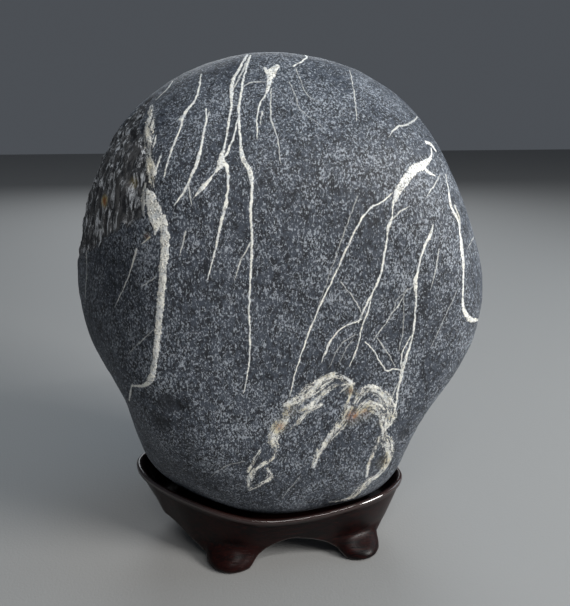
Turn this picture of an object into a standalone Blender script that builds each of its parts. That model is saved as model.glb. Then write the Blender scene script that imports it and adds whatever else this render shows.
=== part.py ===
"""A worn river stone standing in its carved hardwood stand.

The stone is one solid: an egg-shaped boulder whose skin is flattened by broad
worn faces and dented by a few hollows above its foot.  The stand is one block
of wood: a flared rim, a dished tray, four bracket feet with rounded toes, an
arch between each pair of feet, and a seat that fits the stone's underside.

Metres, +Z up.  The floor is z = 0, the front faces -Y, and the origin lies
under the middle of the stone and stand together.
"""

import math
from dataclasses import dataclass

import bmesh
import bpy
import numpy as np
from mathutils import Vector

# ---------------------------------------------------------------- dimensions
SEAT_GAP = 0.0003           # clearance between the stone and its seat

# The stone, measured from its heart.
HEART = Vector((0.00035, 0.00355, 0.130))
HALF_WIDTH = 0.1100
HALF_DEPTH = 0.0740
HALF_HEIGHT = 0.1240
SOFTNESS = 14.0             # higher makes crisper ridges between worn faces
STONE_DETAIL = 5            # icosphere subdivisions: 5120 triangles

# The stand's rim, seen from above.
STAND_CENTRE = Vector((-0.00665, -0.00545, 0.0))
RIM_HALF_LENGTH = 0.0703
RIM_HALF_DEPTH = 0.0385
RIM_TURN = math.radians(-11.3)  # the rim's long axis, turned clockwise from +X
RIM_SQUARENESS = 1.85       # 2 is an ellipse, lower is more pointed
RIM_HEIGHT = 0.0290         # at the middle of the front and back
LIFT_LEFT = 0.0090          # how much higher the rim is at its left end
LIFT_RIGHT = 0.0051         # and at its right end

# The stand's block.
TRAY_DEPTH = 0.0070         # from the rim's crest down to the tray
UNDERSIDE_HEIGHT = 0.0150   # the block's underside, inside the feet
TAPER_CURVE = 1.1           # 1 is a straight taper, higher turns in nearer the floor
EDGE_ROUND = 0.0010         # width of the worn lower edges

# The feet and their toes.
FOOT_HALF_WIDTH = 0.0095    # half of what stands on the floor, along the rim
FOOT_THICKNESS = 0.0110     # measured inwards from the toe
THINNING = 0.7              # share of that thickness the wall has lost at full height
THINNED_AT = 0.0160         # height of the lower edge where it has lost it all
HEEL_CURVE = 0.0020         # how gently the lower edge leaves the floor
TOE_REACH = 0.0135          # half the width of a toe's swell near the floor
TOE_NECK = 1.0              # reach of the swell higher up, as a share of that
TOE_FLATNESS = 0.6          # lower makes a toe broader and flatter across
TOE_FULL = 0.0018           # height below which a toe stands out by its full flare
TOE_TOP = 0.0118            # height where a toe starts to swell out of the wall
TOE_ROLL = 0.0024           # height of a toe's rounded under-edge
TOE_TUCK = 0.8              # how far that edge turns in, as a share of its height

# How the stand is divided up.
STAND_COLUMNS = 112         # round the stand, crowded together at the feet
WALL_STATIONS = 10          # rows of vertices down the wall below the lip
CROWDING = 1.8              # how many more columns there are at a foot than elsewhere
CROWDING_REACH = 0.0150     # distance along the rim either side of a foot
RIM_SAMPLES = 2881          # steps round the rim when distances along it are measured

# The flat tray: shares of the rim's radius.
TRAY_SHARES = (0.0, 0.20, 0.40)
# The dish's slope: distance inside the rim, and share of the slope left to climb.
INNER_SLOPE = (
    (0.0120, 1.0),
    (0.0100, 0.93),
    (0.0080, 0.74),
    (0.0060, 0.48),
    (0.0044, 0.24),
    (0.0032, 0.09),
    (0.0022, 0.015),
)
# The rounded lip: distance inside the rim, and drop below its crest.
LIP = ((0.0010, 0.0001), (0.0002, 0.0008), (0.0004, 0.0028))
# Behind the foot: distance further in, and share of the climb to the underside.
BEHIND_FOOT = ((0.0, 0.08), (0.0006, 0.45), (0.0015, 0.80), (0.0030, 1.0))
# The innermost ring of the underside: a share of the rim's radius.
UNDERSIDE_SHARE = 0.30

# How far inside the rim the wall would reach the floor, by bearing from +X.
WALL_INSETS = (
    (-180, 0.0165),
    (-168, 0.0100),
    (-150, 0.0052),
    (-125, 0.0056),
    (-100, 0.0080),
    (-75, 0.0105),
    (-50, 0.0100),
    (-25, 0.0105),
    (0, 0.0130),
    (35, 0.0110),
    (80, 0.0105),
    (130, 0.0110),
    (160, 0.0150),
    (180, 0.0165),
)


@dataclass(frozen=True)
class WornFace:
    """A broad flat worn on the stone: which way it looks and how far out it is."""

    name: str
    bearing: float          # degrees round from the front, right-hand side positive
    pitch: float            # degrees above the horizon
    distance: float         # from the heart

    def normal(self):
        """Outward unit normal."""
        return bearing_vector(self.bearing, self.pitch)


@dataclass(frozen=True)
class Swelling:
    """A shallow round swelling of the skin; a negative height is a hollow."""

    name: str
    bearing: float
    pitch: float
    height: float
    spread: float           # degrees, as seen from the heart


WORN_FACES = (
    WornFace("front", 3, -3, 0.0610),
    WornFace("front brow", -5, 42, 0.0920),
    WornFace("front chin", 8.5, -29.7, 0.1162),
    WornFace("left cheek", -56, 2, 0.0901),
    WornFace("left side", -86, 21.9, 0.1034),
    WornFace("upper left", -84, 58.6, 0.1128),
    WornFace("lower left", -75.1, -24.8, 0.0929),
    WornFace("right side", 72, -23.2, 0.1035),
    WornFace("right shoulder", 80, 23.2, 0.0985),
    WornFace("upper right", 68, 53.7, 0.1109),
    WornFace("lower right", 75.2, -27.8, 0.0999),
    WornFace("crown", 76, 85, 0.1199),
    WornFace("foot", 0, -90, 0.1125),
    WornFace("back", 176, 6, 0.0490),
    WornFace("back left", -132, 4, 0.0780),
    WornFace("back right", 122, -4, 0.0780),
    WornFace("back brow", 170, 48, 0.0860),
    WornFace("back chin", 184, -46, 0.0893),
    WornFace("back right chin", 139.0, -49.6, 0.0911),
)

SWELLINGS = (
    Swelling("left waist", -80, -39.6, -0.0037, 14),
    Swelling("right waist", 74, -40.7, -0.0071, 15),
    Swelling("right jowl", 78, -18, 0.0017, 12),
    Swelling("left heel", -80, -49.9, 0.0094, 15),
    Swelling("right heel", 74, -58.4, 0.0068, 15),
    Swelling("sole", 0, -90, 0.0027, 30),
    Swelling("front toe", 28.6, -62, -0.0012, 14),
    Swelling("left toe", -53.6, -58, -0.0047, 14),
)


@dataclass(frozen=True)
class Flank:
    """How the wall's lower edge climbs from a foot into the arch beside it."""

    height: float           # of the arch's top
    spring: float           # distance along the rim from the foot to that top
    bow: float = 0.75       # 0.5 is an ellipse, higher rises later


@dataclass(frozen=True)
class Foot:
    """A bracket foot: where it stands round the rim and what lies either side."""

    name: str
    bearing: float          # degrees from +X, anticlockwise from above
    flare: float            # how far its toe stands out of the wall
    clockwise: Flank
    anticlockwise: Flank


FRONT_ARCH = 0.0158
SIDE_ARCH = 0.0175
BACK_ARCH = 0.0160

FEET = (
    Foot("front_left", -125.5, 0.0102, Flank(SIDE_ARCH, 0.0385, 0.85), Flank(FRONT_ARCH, 0.0230)),
    Foot("front_right", -36.8, 0.0125, Flank(FRONT_ARCH, 0.0310), Flank(SIDE_ARCH, 0.0330)),
    Foot("back_right", 38.0, 0.0115, Flank(SIDE_ARCH, 0.0330), Flank(BACK_ARCH, 0.0240)),
    Foot("back_left", 130.0, 0.0115, Flank(BACK_ARCH, 0.0240), Flank(SIDE_ARCH, 0.0370)),
)


def bearing_vector(bearing, pitch):
    """Unit vector for a bearing from the front and a pitch above the horizon."""
    turn = math.radians(bearing)
    lift = math.radians(pitch)
    level = math.cos(lift)
    return Vector((math.sin(turn) * level, -math.cos(turn) * level, math.sin(lift)))


def smooth_step(value, start, end):
    """0 below start, 1 above end, and a smooth S between them."""
    share = min(max((value - start) / (end - start), 0.0), 1.0)
    return share * share * (3.0 - 2.0 * share)


# --------------------------------------------------------------------- stone
def stone_radius(direction):
    """Distance from the heart to the skin along a unit direction."""
    oval = math.sqrt(
        (direction.x / HALF_WIDTH) ** 2
        + (direction.y / HALF_DEPTH) ** 2
        + (direction.z / HALF_HEIGHT) ** 2
    )
    total = oval ** SOFTNESS
    for face in WORN_FACES:
        reach = direction.dot(face.normal()) / face.distance
        if reach > 0.0:
            total += reach ** SOFTNESS
    radius = total ** (-1.0 / SOFTNESS)
    for swelling in SWELLINGS:
        centre = bearing_vector(swelling.bearing, swelling.pitch)
        off = math.degrees(direction.angle(centre))
        radius += swelling.height * math.exp(-((off / swelling.spread) ** 2))
    return radius


def icosphere(name, detail):
    """A unit icosphere as a new mesh."""
    mesh = bpy.data.meshes.new(name)
    shape = bmesh.new()
    bmesh.ops.create_icosphere(shape, subdivisions=detail, radius=1.0)
    shape.to_mesh(mesh)
    shape.free()
    return mesh


def make_stone(collection):
    """The boulder: a sphere whose vertices are drawn in to the worn skin."""
    mesh = icosphere("stone", STONE_DETAIL)
    for vertex in mesh.vertices:
        direction = vertex.co.normalized()
        vertex.co = HEART + direction * stone_radius(direction)
    mesh.shade_smooth()
    stone = bpy.data.objects.new("stone", mesh)
    collection.objects.link(stone)
    stone.data.materials.append(finish("stone", (0.075, 0.080, 0.092), 0.75, 0.0))
    return stone


def make_seat_cutter(stone, collection):
    """A copy of the stone, larger all round by the seat's clearance."""
    mesh = stone.data.copy()
    mesh.name = "seat_cutter"
    grown = [vertex.co + vertex.normal * SEAT_GAP for vertex in mesh.vertices]
    for vertex, place in zip(mesh.vertices, grown):
        vertex.co = place
    cutter = bpy.data.objects.new("seat_cutter", mesh)
    collection.objects.link(cutter)
    cutter.hide_render = True
    cutter.display_type = "WIRE"
    return cutter


# --------------------------------------------------------------------- stand
def rim_radius(turn):
    """Plan radius of the rim at an angle from +X, about the stand's centre."""
    along = abs(math.cos(turn - RIM_TURN) / RIM_HALF_LENGTH)
    across = abs(math.sin(turn - RIM_TURN) / RIM_HALF_DEPTH)
    return (along ** RIM_SQUARENESS + across ** RIM_SQUARENESS) ** (-1.0 / RIM_SQUARENESS)


def rim_place(turn):
    """The rim's point at an angle, level with the floor, from the stand's centre."""
    radius = rim_radius(turn)
    return Vector((math.cos(turn) * radius, math.sin(turn) * radius, 0.0))


def rim_height(turn):
    """Height of the rim's crest, which rises towards the two ends."""
    along = math.cos(turn - RIM_TURN)
    lift = LIFT_LEFT if along < 0.0 else LIFT_RIGHT
    return RIM_HEIGHT + lift * along * along


def measure_rim():
    """Angles round the rim and the distance travelled along it at each."""
    turns = np.linspace(-math.pi, math.pi, RIM_SAMPLES)
    places = np.array([rim_place(turn)[:] for turn in turns])
    steps = np.linalg.norm(np.diff(places, axis=0), axis=1)
    return turns, np.concatenate(([0.0], np.cumsum(steps)))


RIM_TURNS, RIM_TRAVEL = measure_rim()
RIM_ROUND = float(RIM_TRAVEL[-1])


def travel(turn):
    """Distance along the rim at an angle between -pi and pi."""
    return float(np.interp(turn, RIM_TURNS, RIM_TRAVEL))


def offset_from(foot, turn):
    """Distance along the rim from a foot, positive anticlockwise."""
    return math.remainder(travel(turn) - travel(math.radians(foot.bearing)), RIM_ROUND)


def lower_edge(foot, offset):
    """Height of the wall's lower edge: the floor at a foot, the arch beside it."""
    flank = foot.anticlockwise if offset > 0.0 else foot.clockwise
    beyond = max(abs(offset) - FOOT_HALF_WIDTH, 0.0)
    eased = beyond * beyond / (beyond + HEEL_CURVE)
    left = 1.0 - min(eased / flank.spring, 1.0)
    return flank.height * (1.0 - left * left) ** flank.bow


def inset_at_floor(turn):
    """How far inside the rim the wall would reach the floor at an angle."""
    bearing = math.degrees(turn)
    for (start, first), (end, last) in zip(WALL_INSETS, WALL_INSETS[1:]):
        if bearing <= end:
            return first + (last - first) * smooth_step(bearing, start, end)
    return WALL_INSETS[-1][1]


def toe_swell(offset, height):
    """0 to 1: how much of a toe's flare is present beside a foot at a height."""
    low = max(1.0 - (offset / TOE_REACH) ** 2, 0.0) ** TOE_FLATNESS
    neck = math.exp(-((offset / (TOE_REACH * TOE_NECK)) ** 2))
    climbed = min(max(height / TOE_TOP, 0.0), 1.0)
    across = low * (1.0 - climbed) + neck * climbed
    return across * (1.0 - smooth_step(height, TOE_FULL, TOE_TOP))


def wall_inside(turn, foot, offset, height):
    """How far the outer wall lies inside the rim at a height; less than 0 is outside."""
    drop = max(1.0 - height / rim_height(turn), 0.0)
    taper = inset_at_floor(turn) * drop ** TAPER_CURVE
    under = min(max(1.0 - height / TOE_ROLL, 0.0), 1.0)
    tucked = TOE_TUCK * TOE_ROLL * (1.0 - math.sqrt(1.0 - under * under))
    lip_inside, _ = LIP[-1]
    return lip_inside + taper + tucked - foot.flare * toe_swell(offset, height)


def column_profile(turn):
    """The stand's outline in the upright plane square to the rim at an angle.

    The points run from the tray's middle over the rim and down to the underside's.
    """
    foot = min(FEET, key=lambda one: abs(offset_from(one, turn)))
    offset = offset_from(foot, turn)
    rim = rim_place(turn)
    ahead = rim_place(turn + 0.001) - rim_place(turn - 0.001)
    outward = Vector((ahead.y, -ahead.x, 0.0)).normalized()
    low = lower_edge(foot, offset)
    crest = rim_height(turn)
    tray = RIM_HEIGHT - TRAY_DEPTH

    def inside(distance, height):
        """A point some way inside the rim."""
        return STAND_CENTRE + rim - outward * distance + Vector((0.0, 0.0, height))

    def shared(share, height):
        """A point at a share of the rim's radius."""
        return STAND_CENTRE + rim * share + Vector((0.0, 0.0, height))

    points = [shared(share, tray) for share in TRAY_SHARES]
    for distance, left in INNER_SLOPE:
        points.append(inside(distance, crest - (crest - tray) * left))
    for distance, drop in LIP:
        points.append(inside(distance, crest - drop))

    top = crest - LIP[-1][1]
    bottom = low + EDGE_ROUND * 0.3
    for row in range(1, WALL_STATIONS + 1):
        height = top + (bottom - top) * row / WALL_STATIONS
        points.append(inside(wall_inside(turn, foot, offset, height), height))

    edge = wall_inside(turn, foot, offset, bottom)
    back = edge + FOOT_THICKNESS * (1.0 - THINNING * min(low / THINNED_AT, 1.0))
    points.append(inside(edge + EDGE_ROUND / 2, low))
    points.append(inside(back - EDGE_ROUND / 2, low))
    for further, share in BEHIND_FOOT:
        points.append(inside(back + further, low + (UNDERSIDE_HEIGHT - low) * share))
    points.append(shared(UNDERSIDE_SHARE, UNDERSIDE_HEIGHT))
    points.append(shared(0.0, UNDERSIDE_HEIGHT))
    return points


def column_turns():
    """Angles of the upright columns, closer together where the feet are."""
    crowding = np.ones_like(RIM_TURNS)
    for foot in FEET:
        off = np.array([offset_from(foot, turn) for turn in RIM_TURNS])
        crowding += CROWDING * np.exp(-((off / CROWDING_REACH) ** 2))
    pace = (crowding[1:] + crowding[:-1]) / 2 * np.diff(RIM_TRAVEL)
    counted = np.concatenate(([0.0], np.cumsum(pace)))
    wanted = np.linspace(0.0, counted[-1], STAND_COLUMNS + 1)[:-1]
    return np.interp(wanted, counted, RIM_TURNS)


def make_stand(cutter, collection):
    """The carved block: a sphere's rings drawn out to the profile, then the seat cut."""
    profiles = [column_profile(turn) for turn in column_turns()]
    rings = len(profiles[0]) - 1

    shape = bmesh.new()
    bmesh.ops.create_uvsphere(shape, u_segments=STAND_COLUMNS, v_segments=rings, radius=1.0)
    for vertex in shape.verts:
        ring = round(math.acos(max(-1.0, min(1.0, vertex.co.z))) / math.pi * rings)
        column = round(math.atan2(vertex.co.y, vertex.co.x) / math.tau * STAND_COLUMNS)
        vertex.co = profiles[column % STAND_COLUMNS][ring]
    bmesh.ops.recalc_face_normals(shape, faces=shape.faces)
    mesh = bpy.data.meshes.new("stand")
    shape.to_mesh(mesh)
    shape.free()

    stand = bpy.data.objects.new("stand", mesh)
    collection.objects.link(stand)
    seat = stand.modifiers.new("seat", "BOOLEAN")
    seat.operation = "DIFFERENCE"
    seat.solver = "EXACT"
    seat.object = cutter
    stand.data.materials.append(finish("rosewood", (0.060, 0.022, 0.020), 0.25, 0.0))
    return stand


# --------------------------------------------------------------------- model
def finish(name, colour, roughness, metallic):
    """A plain Principled material."""
    material = bpy.data.materials.new(name)
    material.use_nodes = True
    shader = material.node_tree.nodes["Principled BSDF"]
    shader.inputs["Base Color"].default_value = (*colour, 1.0)
    shader.inputs["Roughness"].default_value = roughness
    shader.inputs["Metallic"].default_value = metallic
    return material


def new_collection(name):
    """A collection linked under the scene's own."""
    collection = bpy.data.collections.new(name)
    bpy.context.scene.collection.children.link(collection)
    return collection


def main():
    """Clear the scene and model the stone, its seat cutter and its stand."""
    for existing in list(bpy.data.objects):
        bpy.data.objects.remove(existing, do_unlink=True)
    parts = new_collection("scholars_rock")
    cutters = new_collection("cutters")
    stone = make_stone(parts)
    cutter = make_seat_cutter(stone, cutters)
    make_stand(cutter, parts)


main()
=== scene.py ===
"""Looks of a veined viewing stone and of the carved rosewood stand that it sits in.

The stone is a finer copy of its solid, weathered by a Geometry Nodes tree.  Its veins
are routes drawn on the skin: each vertex near one keeps how far it lies to the side of
the route, and the finish turns that into a crisp, frayed edge.  The stand is drawn out
again from its profile at a finer step, and its seat is lowered clear of the stone.

Metres, +Z up, the front looks along -Y.
"""

import logging
import math
from dataclasses import dataclass, field
from enum import Enum

import bmesh
import bpy
import numpy as np
from mathutils import Euler, Matrix, Vector
from mathutils.bvhtree import BVHTree


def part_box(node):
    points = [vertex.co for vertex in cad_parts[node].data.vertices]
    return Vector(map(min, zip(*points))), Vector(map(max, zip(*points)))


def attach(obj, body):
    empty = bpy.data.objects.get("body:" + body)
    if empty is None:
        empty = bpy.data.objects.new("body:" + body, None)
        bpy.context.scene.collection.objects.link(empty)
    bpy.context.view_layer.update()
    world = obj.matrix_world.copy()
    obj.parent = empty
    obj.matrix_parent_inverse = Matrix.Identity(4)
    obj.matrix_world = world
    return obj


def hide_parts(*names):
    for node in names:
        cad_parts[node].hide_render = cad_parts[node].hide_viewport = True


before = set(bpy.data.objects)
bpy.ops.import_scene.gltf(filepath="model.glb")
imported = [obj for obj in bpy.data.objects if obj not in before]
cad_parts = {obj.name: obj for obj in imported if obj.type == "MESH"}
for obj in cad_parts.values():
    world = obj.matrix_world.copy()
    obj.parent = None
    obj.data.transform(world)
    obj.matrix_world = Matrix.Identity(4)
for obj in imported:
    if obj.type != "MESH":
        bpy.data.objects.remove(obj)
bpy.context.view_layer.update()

log = logging.getLogger("scholars_rock")

BODY = "root"
MM = 0.001
FRAME_WIDTH = 570           # the picture frame that picture routes are drawn in
FRAME_HEIGHT = 606
FAR = 40.0                  # millimetres: stands for "nowhere near a vein"


class Chart(Enum):
    """How the stops of a route are written."""

    PICTURE = "pixels across and down the picture frame"
    ROUND = "degrees round from the front, and degrees above the horizon"


class Texture(Enum):
    """What fills a vein."""

    CLEAN = 1.0
    FAINT = 0.62
    HAIR = 0.42


# ------------------------------------------------------------------ node building
class Wire:
    """An output socket whose arithmetic adds Math nodes to its graph."""

    def __init__(self, graph: "Graph", socket: bpy.types.NodeSocket) -> None:
        """Keep the graph and the socket."""
        self.graph = graph
        self.socket = socket

    def _math(self, operation: str, first: object, second: object) -> "Wire":
        """Add one Math node.

        Args:
            operation: the Math node's operation.
            first: a Wire or a number.
            second: a Wire or a number.

        Returns:
            The node's result.
        """
        kind = "ShaderNodeMath"
        return self.graph.add(kind, {"operation": operation}, {0: first, 1: second})["Value"]

    def __add__(self, other: object) -> "Wire":
        """self + other."""
        return self._math("ADD", self, other)

    __radd__ = __add__

    def __sub__(self, other: object) -> "Wire":
        """self - other."""
        return self._math("SUBTRACT", self, other)

    def __rsub__(self, other: object) -> "Wire":
        """other - self."""
        return self._math("SUBTRACT", other, self)

    def __mul__(self, other: object) -> "Wire":
        """self * other."""
        return self._math("MULTIPLY", self, other)

    __rmul__ = __mul__

    def __abs__(self) -> "Wire":
        """The size of self, whatever its sign."""
        return self._math("ABSOLUTE", self, 0.0)

    def over(self, other: object) -> "Wire":
        """The larger of self and other."""
        return self._math("MAXIMUM", self, other)


class Made:
    """A node just added, whose outputs are picked by name as Wires."""

    def __init__(self, graph: "Graph", node: bpy.types.Node) -> None:
        """Keep the graph and the node."""
        self.graph = graph
        self.node = node

    def __getitem__(self, name: str) -> Wire:
        """Pick an output.

        Args:
            name: its name or identifier.

        Returns:
            The output as a Wire.
        """
        for socket in self.node.outputs:
            if name in (socket.identifier, socket.name) and socket.enabled:
                return Wire(self.graph, socket)
        raise KeyError(f"{self.node.bl_idname} has no output {name}")


class Graph:
    """A node tree under construction, for a material or for geometry."""

    def __init__(self, tree: bpy.types.NodeTree) -> None:
        """Keep the tree."""
        self.tree = tree

    def add(self, kind: str, settings: dict | None = None, sockets: dict | None = None) -> Made:
        """Add a node.

        Args:
            kind: the node's type.
            settings: its properties, set before its sockets.
            sockets: a value or a Wire for each input, by identifier, name or index.

        Returns:
            The node, ready to have its outputs picked.
        """
        node = self.tree.nodes.new(kind)
        for name, value in (settings or {}).items():
            setattr(node, name, value)
        for key, value in (sockets or {}).items():
            self.plug(self._input(node, key), value)
        return Made(self, node)

    @staticmethod
    def _input(node: bpy.types.Node, key: object) -> bpy.types.NodeSocket:
        """Find an input.

        Args:
            node: the node.
            key: the input's index, identifier or name.

        Returns:
            The input.
        """
        if isinstance(key, int):
            return node.inputs[key]
        for socket in node.inputs:
            if socket.identifier == key:
                return socket
        return next(s for s in node.inputs if s.name == key and s.enabled)

    def plug(self, socket: bpy.types.NodeSocket, value: object) -> None:
        """Feed a socket.

        Args:
            socket: the input.
            value: a Wire to link to it, or the value to set; a colour may lack its alpha.
        """
        if isinstance(value, Wire):
            self.tree.links.new(value.socket, socket)
        elif socket.type == "RGBA" and len(value) == 3:
            socket.default_value = (*value, 1.0)
        else:
            socket.default_value = value

    def step(self, value: object, low: float, high: float) -> Wire:
        """A smooth rise from 0 at low to 1 at high."""
        sockets = {"Value": value, "From Min": low, "From Max": high}
        return self.add("ShaderNodeMapRange", {"interpolation_type": "SMOOTHSTEP"}, sockets)["Result"]

    def blend(self, share: object, first: object, second: object) -> Wire:
        """Mix two colours by a share from 0 to 1."""
        sockets = {"Factor_Float": share, "A_Color": first, "B_Color": second}
        return self.add("ShaderNodeMix", {"data_type": "RGBA"}, sockets)["Result_Color"]

    def noise(self, place: Wire, scale: float, detail: float = 2.0, rough: float = 0.5,
              bend: float = 0.0) -> Wire:
        """Smooth noise from 0 to 1.

        Args:
            place: where it is read.
            scale: lumps to a unit of that place.
            detail: how many finer layers are laid over the lumps.
            rough: how strong each finer layer is.
            bend: how far the lumps are pulled out of line.

        Returns:
            The noise.
        """
        sockets = {"Vector": place, "Scale": scale, "Detail": detail, "Roughness": rough,
                   "Distortion": bend}
        return self.add("ShaderNodeTexNoise", None, sockets)["Fac"]

    def scaled(self, place: Wire, scale: tuple, turn: tuple = (0.0, 0.0, 0.0)) -> Wire:
        """A place turned, then stretched on each axis."""
        sockets = {"Vector": place, "Rotation": turn, "Scale": scale}
        return self.add("ShaderNodeMapping", {"vector_type": "POINT"}, sockets)["Vector"]


class Paint:
    """A new Principled material, its graph and its place on the piece in millimetres."""

    def __init__(self, name: str) -> None:
        """Make the material.

        Args:
            name: the material's name.
        """
        self.material = bpy.data.materials.new(name)
        self.material.use_nodes = True
        self.graph = Graph(self.material.node_tree)
        self.shader = self.material.node_tree.nodes["Principled BSDF"]
        place = self.graph.add("ShaderNodeTexCoord")["Object"]
        self.place = self.graph.scaled(place, (1.0 / MM,) * 3)

    def number(self, name: str) -> Wire:
        """A number kept at each vertex."""
        return self.graph.add("ShaderNodeAttribute", {"attribute_name": name})["Fac"]

    def triple(self, name: str) -> tuple[Wire, Wire, Wire]:
        """Three numbers kept at each vertex.

        Args:
            name: the attribute's name.

        Returns:
            The three numbers.
        """
        vector = self.graph.add("ShaderNodeAttribute", {"attribute_name": name})["Vector"]
        split = self.graph.add("ShaderNodeSeparateXYZ", None, {"Vector": vector})
        return split["X"], split["Y"], split["Z"]

    def finish(self, sockets: dict, height: Wire, depth: float) -> bpy.types.Material:
        """Set the shader's sockets and its bump.

        Args:
            sockets: a value or a Wire for each of the shader's inputs.
            height: the height of the surface's grain, from 0 to 1.
            depth: how deep that grain is, in metres.

        Returns:
            The finished material.
        """
        bump = self.graph.add("ShaderNodeBump", None, {"Distance": depth, "Height": height})
        for name, value in {**sockets, "Normal": bump["Normal"]}.items():
            self.graph.plug(self.shader.inputs[name], value)
        return self.material


class GeometryGraph(Graph):
    """A Geometry Nodes tree under construction, with a named input for each size."""

    def __init__(self, name: str, sizes: dict[str, float]) -> None:
        """Make the tree and its inputs.

        Args:
            name: the tree's name.
            sizes: its number inputs by name, with their values.
        """
        super().__init__(bpy.data.node_groups.new(name, "GeometryNodeTree"))
        self.sizes = sizes
        sockets = self.tree.interface
        sockets.new_socket("Geometry", in_out="INPUT", socket_type="NodeSocketGeometry")
        for size in sizes:
            sockets.new_socket(size, in_out="INPUT", socket_type="NodeSocketFloat")
        sockets.new_socket("Geometry", in_out="OUTPUT", socket_type="NodeSocketGeometry")
        self.given = self.add("NodeGroupInput")

    def number(self, name: str) -> Wire:
        """A number kept at each vertex."""
        settings = {"data_type": "FLOAT"}
        return self.add("GeometryNodeInputNamedAttribute", settings, {"Name": name})["Attribute"]

    def finish(self, geometry: Wire, material: bpy.types.Material) -> None:
        """End the tree in real geometry that wears a material.

        Args:
            geometry: what the tree has made.
            material: what it wears.
        """
        whole = self.add("GeometryNodeRealizeInstances", None, {"Geometry": geometry})["Geometry"]
        sockets = {"Geometry": whole, "Material": material}
        dressed = self.add("GeometryNodeSetMaterial", None, sockets)["Geometry"]
        self.add("NodeGroupOutput", None, {"Geometry": dressed})

    def baked(self, source: bpy.types.Object, name: str) -> bpy.types.Mesh:
        """Run the tree on an object and keep the result as a plain mesh.

        Args:
            source: the object; its modifier is removed again.
            name: the new mesh's name.

        Returns:
            The new mesh.
        """
        modifier = source.modifiers.new(self.tree.name, "NODES")
        modifier.node_group = self.tree
        for item in self.tree.interface.items_tree:
            if item.in_out == "INPUT" and item.name in self.sizes:
                modifier[item.identifier] = self.sizes[item.name]
        depsgraph = bpy.context.evaluated_depsgraph_get()
        mesh = bpy.data.meshes.new_from_object(source.evaluated_get(depsgraph), depsgraph=depsgraph)
        mesh.name = name
        source.modifiers.remove(modifier)
        return mesh


# ------------------------------------------------------------------ the viewpoint
@dataclass(frozen=True)
class Viewpoint:
    """Where the camera stands, and how pixels of the picture frame leave it."""

    place: tuple = (-0.03955, -0.30225, 0.2170)
    tip: float = 73.0           # degrees up from straight down
    turn: float = -8.0          # degrees anticlockwise from looking along +Y
    focal: float = 640.0        # in pixels
    sensor: float = 36.0
    nearest: float = 0.01

    def matrix(self) -> Matrix:
        """The rotation from camera axes to the world's."""
        return Euler((math.radians(self.tip), 0.0, math.radians(self.turn))).to_matrix()

    def build(self) -> None:
        """Make the camera and look through it."""
        data = bpy.data.cameras.new("camera")
        data.sensor_width = self.sensor
        data.lens = self.focal * self.sensor / max(FRAME_WIDTH, FRAME_HEIGHT)
        data.clip_start = self.nearest
        camera = bpy.data.objects.new("camera", data)
        camera.location = self.place
        camera.rotation_euler = self.matrix().to_euler()
        bpy.context.scene.collection.objects.link(camera)
        bpy.context.scene.camera = camera

    def ray(self, across: float, down: float) -> tuple[Vector, Vector]:
        """The line of sight through a pixel of the picture frame.

        Args:
            across: pixels from the frame's left edge.
            down: pixels from its top edge.

        Returns:
            Where the line starts, and its direction.
        """
        side = (across - FRAME_WIDTH / 2) / self.focal
        lift = (FRAME_HEIGHT / 2 - down) / self.focal
        return Vector(self.place), (self.matrix() @ Vector((side, lift, -1.0))).normalized()


# ------------------------------------------------------------------ veins
@dataclass(frozen=True)
class Vein:
    """A mineral vein: its route over the skin, and what fills it.

    Each stop is two chart coordinates and the vein's full width there in millimetres.
    """

    name: str
    stops: tuple
    fill: Texture = Texture.CLEAN
    chart: Chart = Chart.PICTURE


@dataclass(frozen=True)
class Spot:
    """A round mark on the skin: where it is and its reach in millimetres.

    Its strength is a stain's share of full colour, or a dent's depth in millimetres.
    """

    name: str
    across: float
    down: float
    reach: float
    strength: float

    def fading(self, points: np.ndarray, skin: "Skin") -> np.ndarray:
        """How near each point is to the middle, from 1 there down to 0.

        Args:
            points: one row for each point, in metres.
            skin: the skin that the spot lies on.

        Returns:
            A number for each point.
        """
        centre = np.array(skin.at_pixel(self.across, self.down)[0])
        gap = np.linalg.norm(points - centre, axis=1) / MM
        return np.exp(-(gap / self.reach) ** 2)


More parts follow.
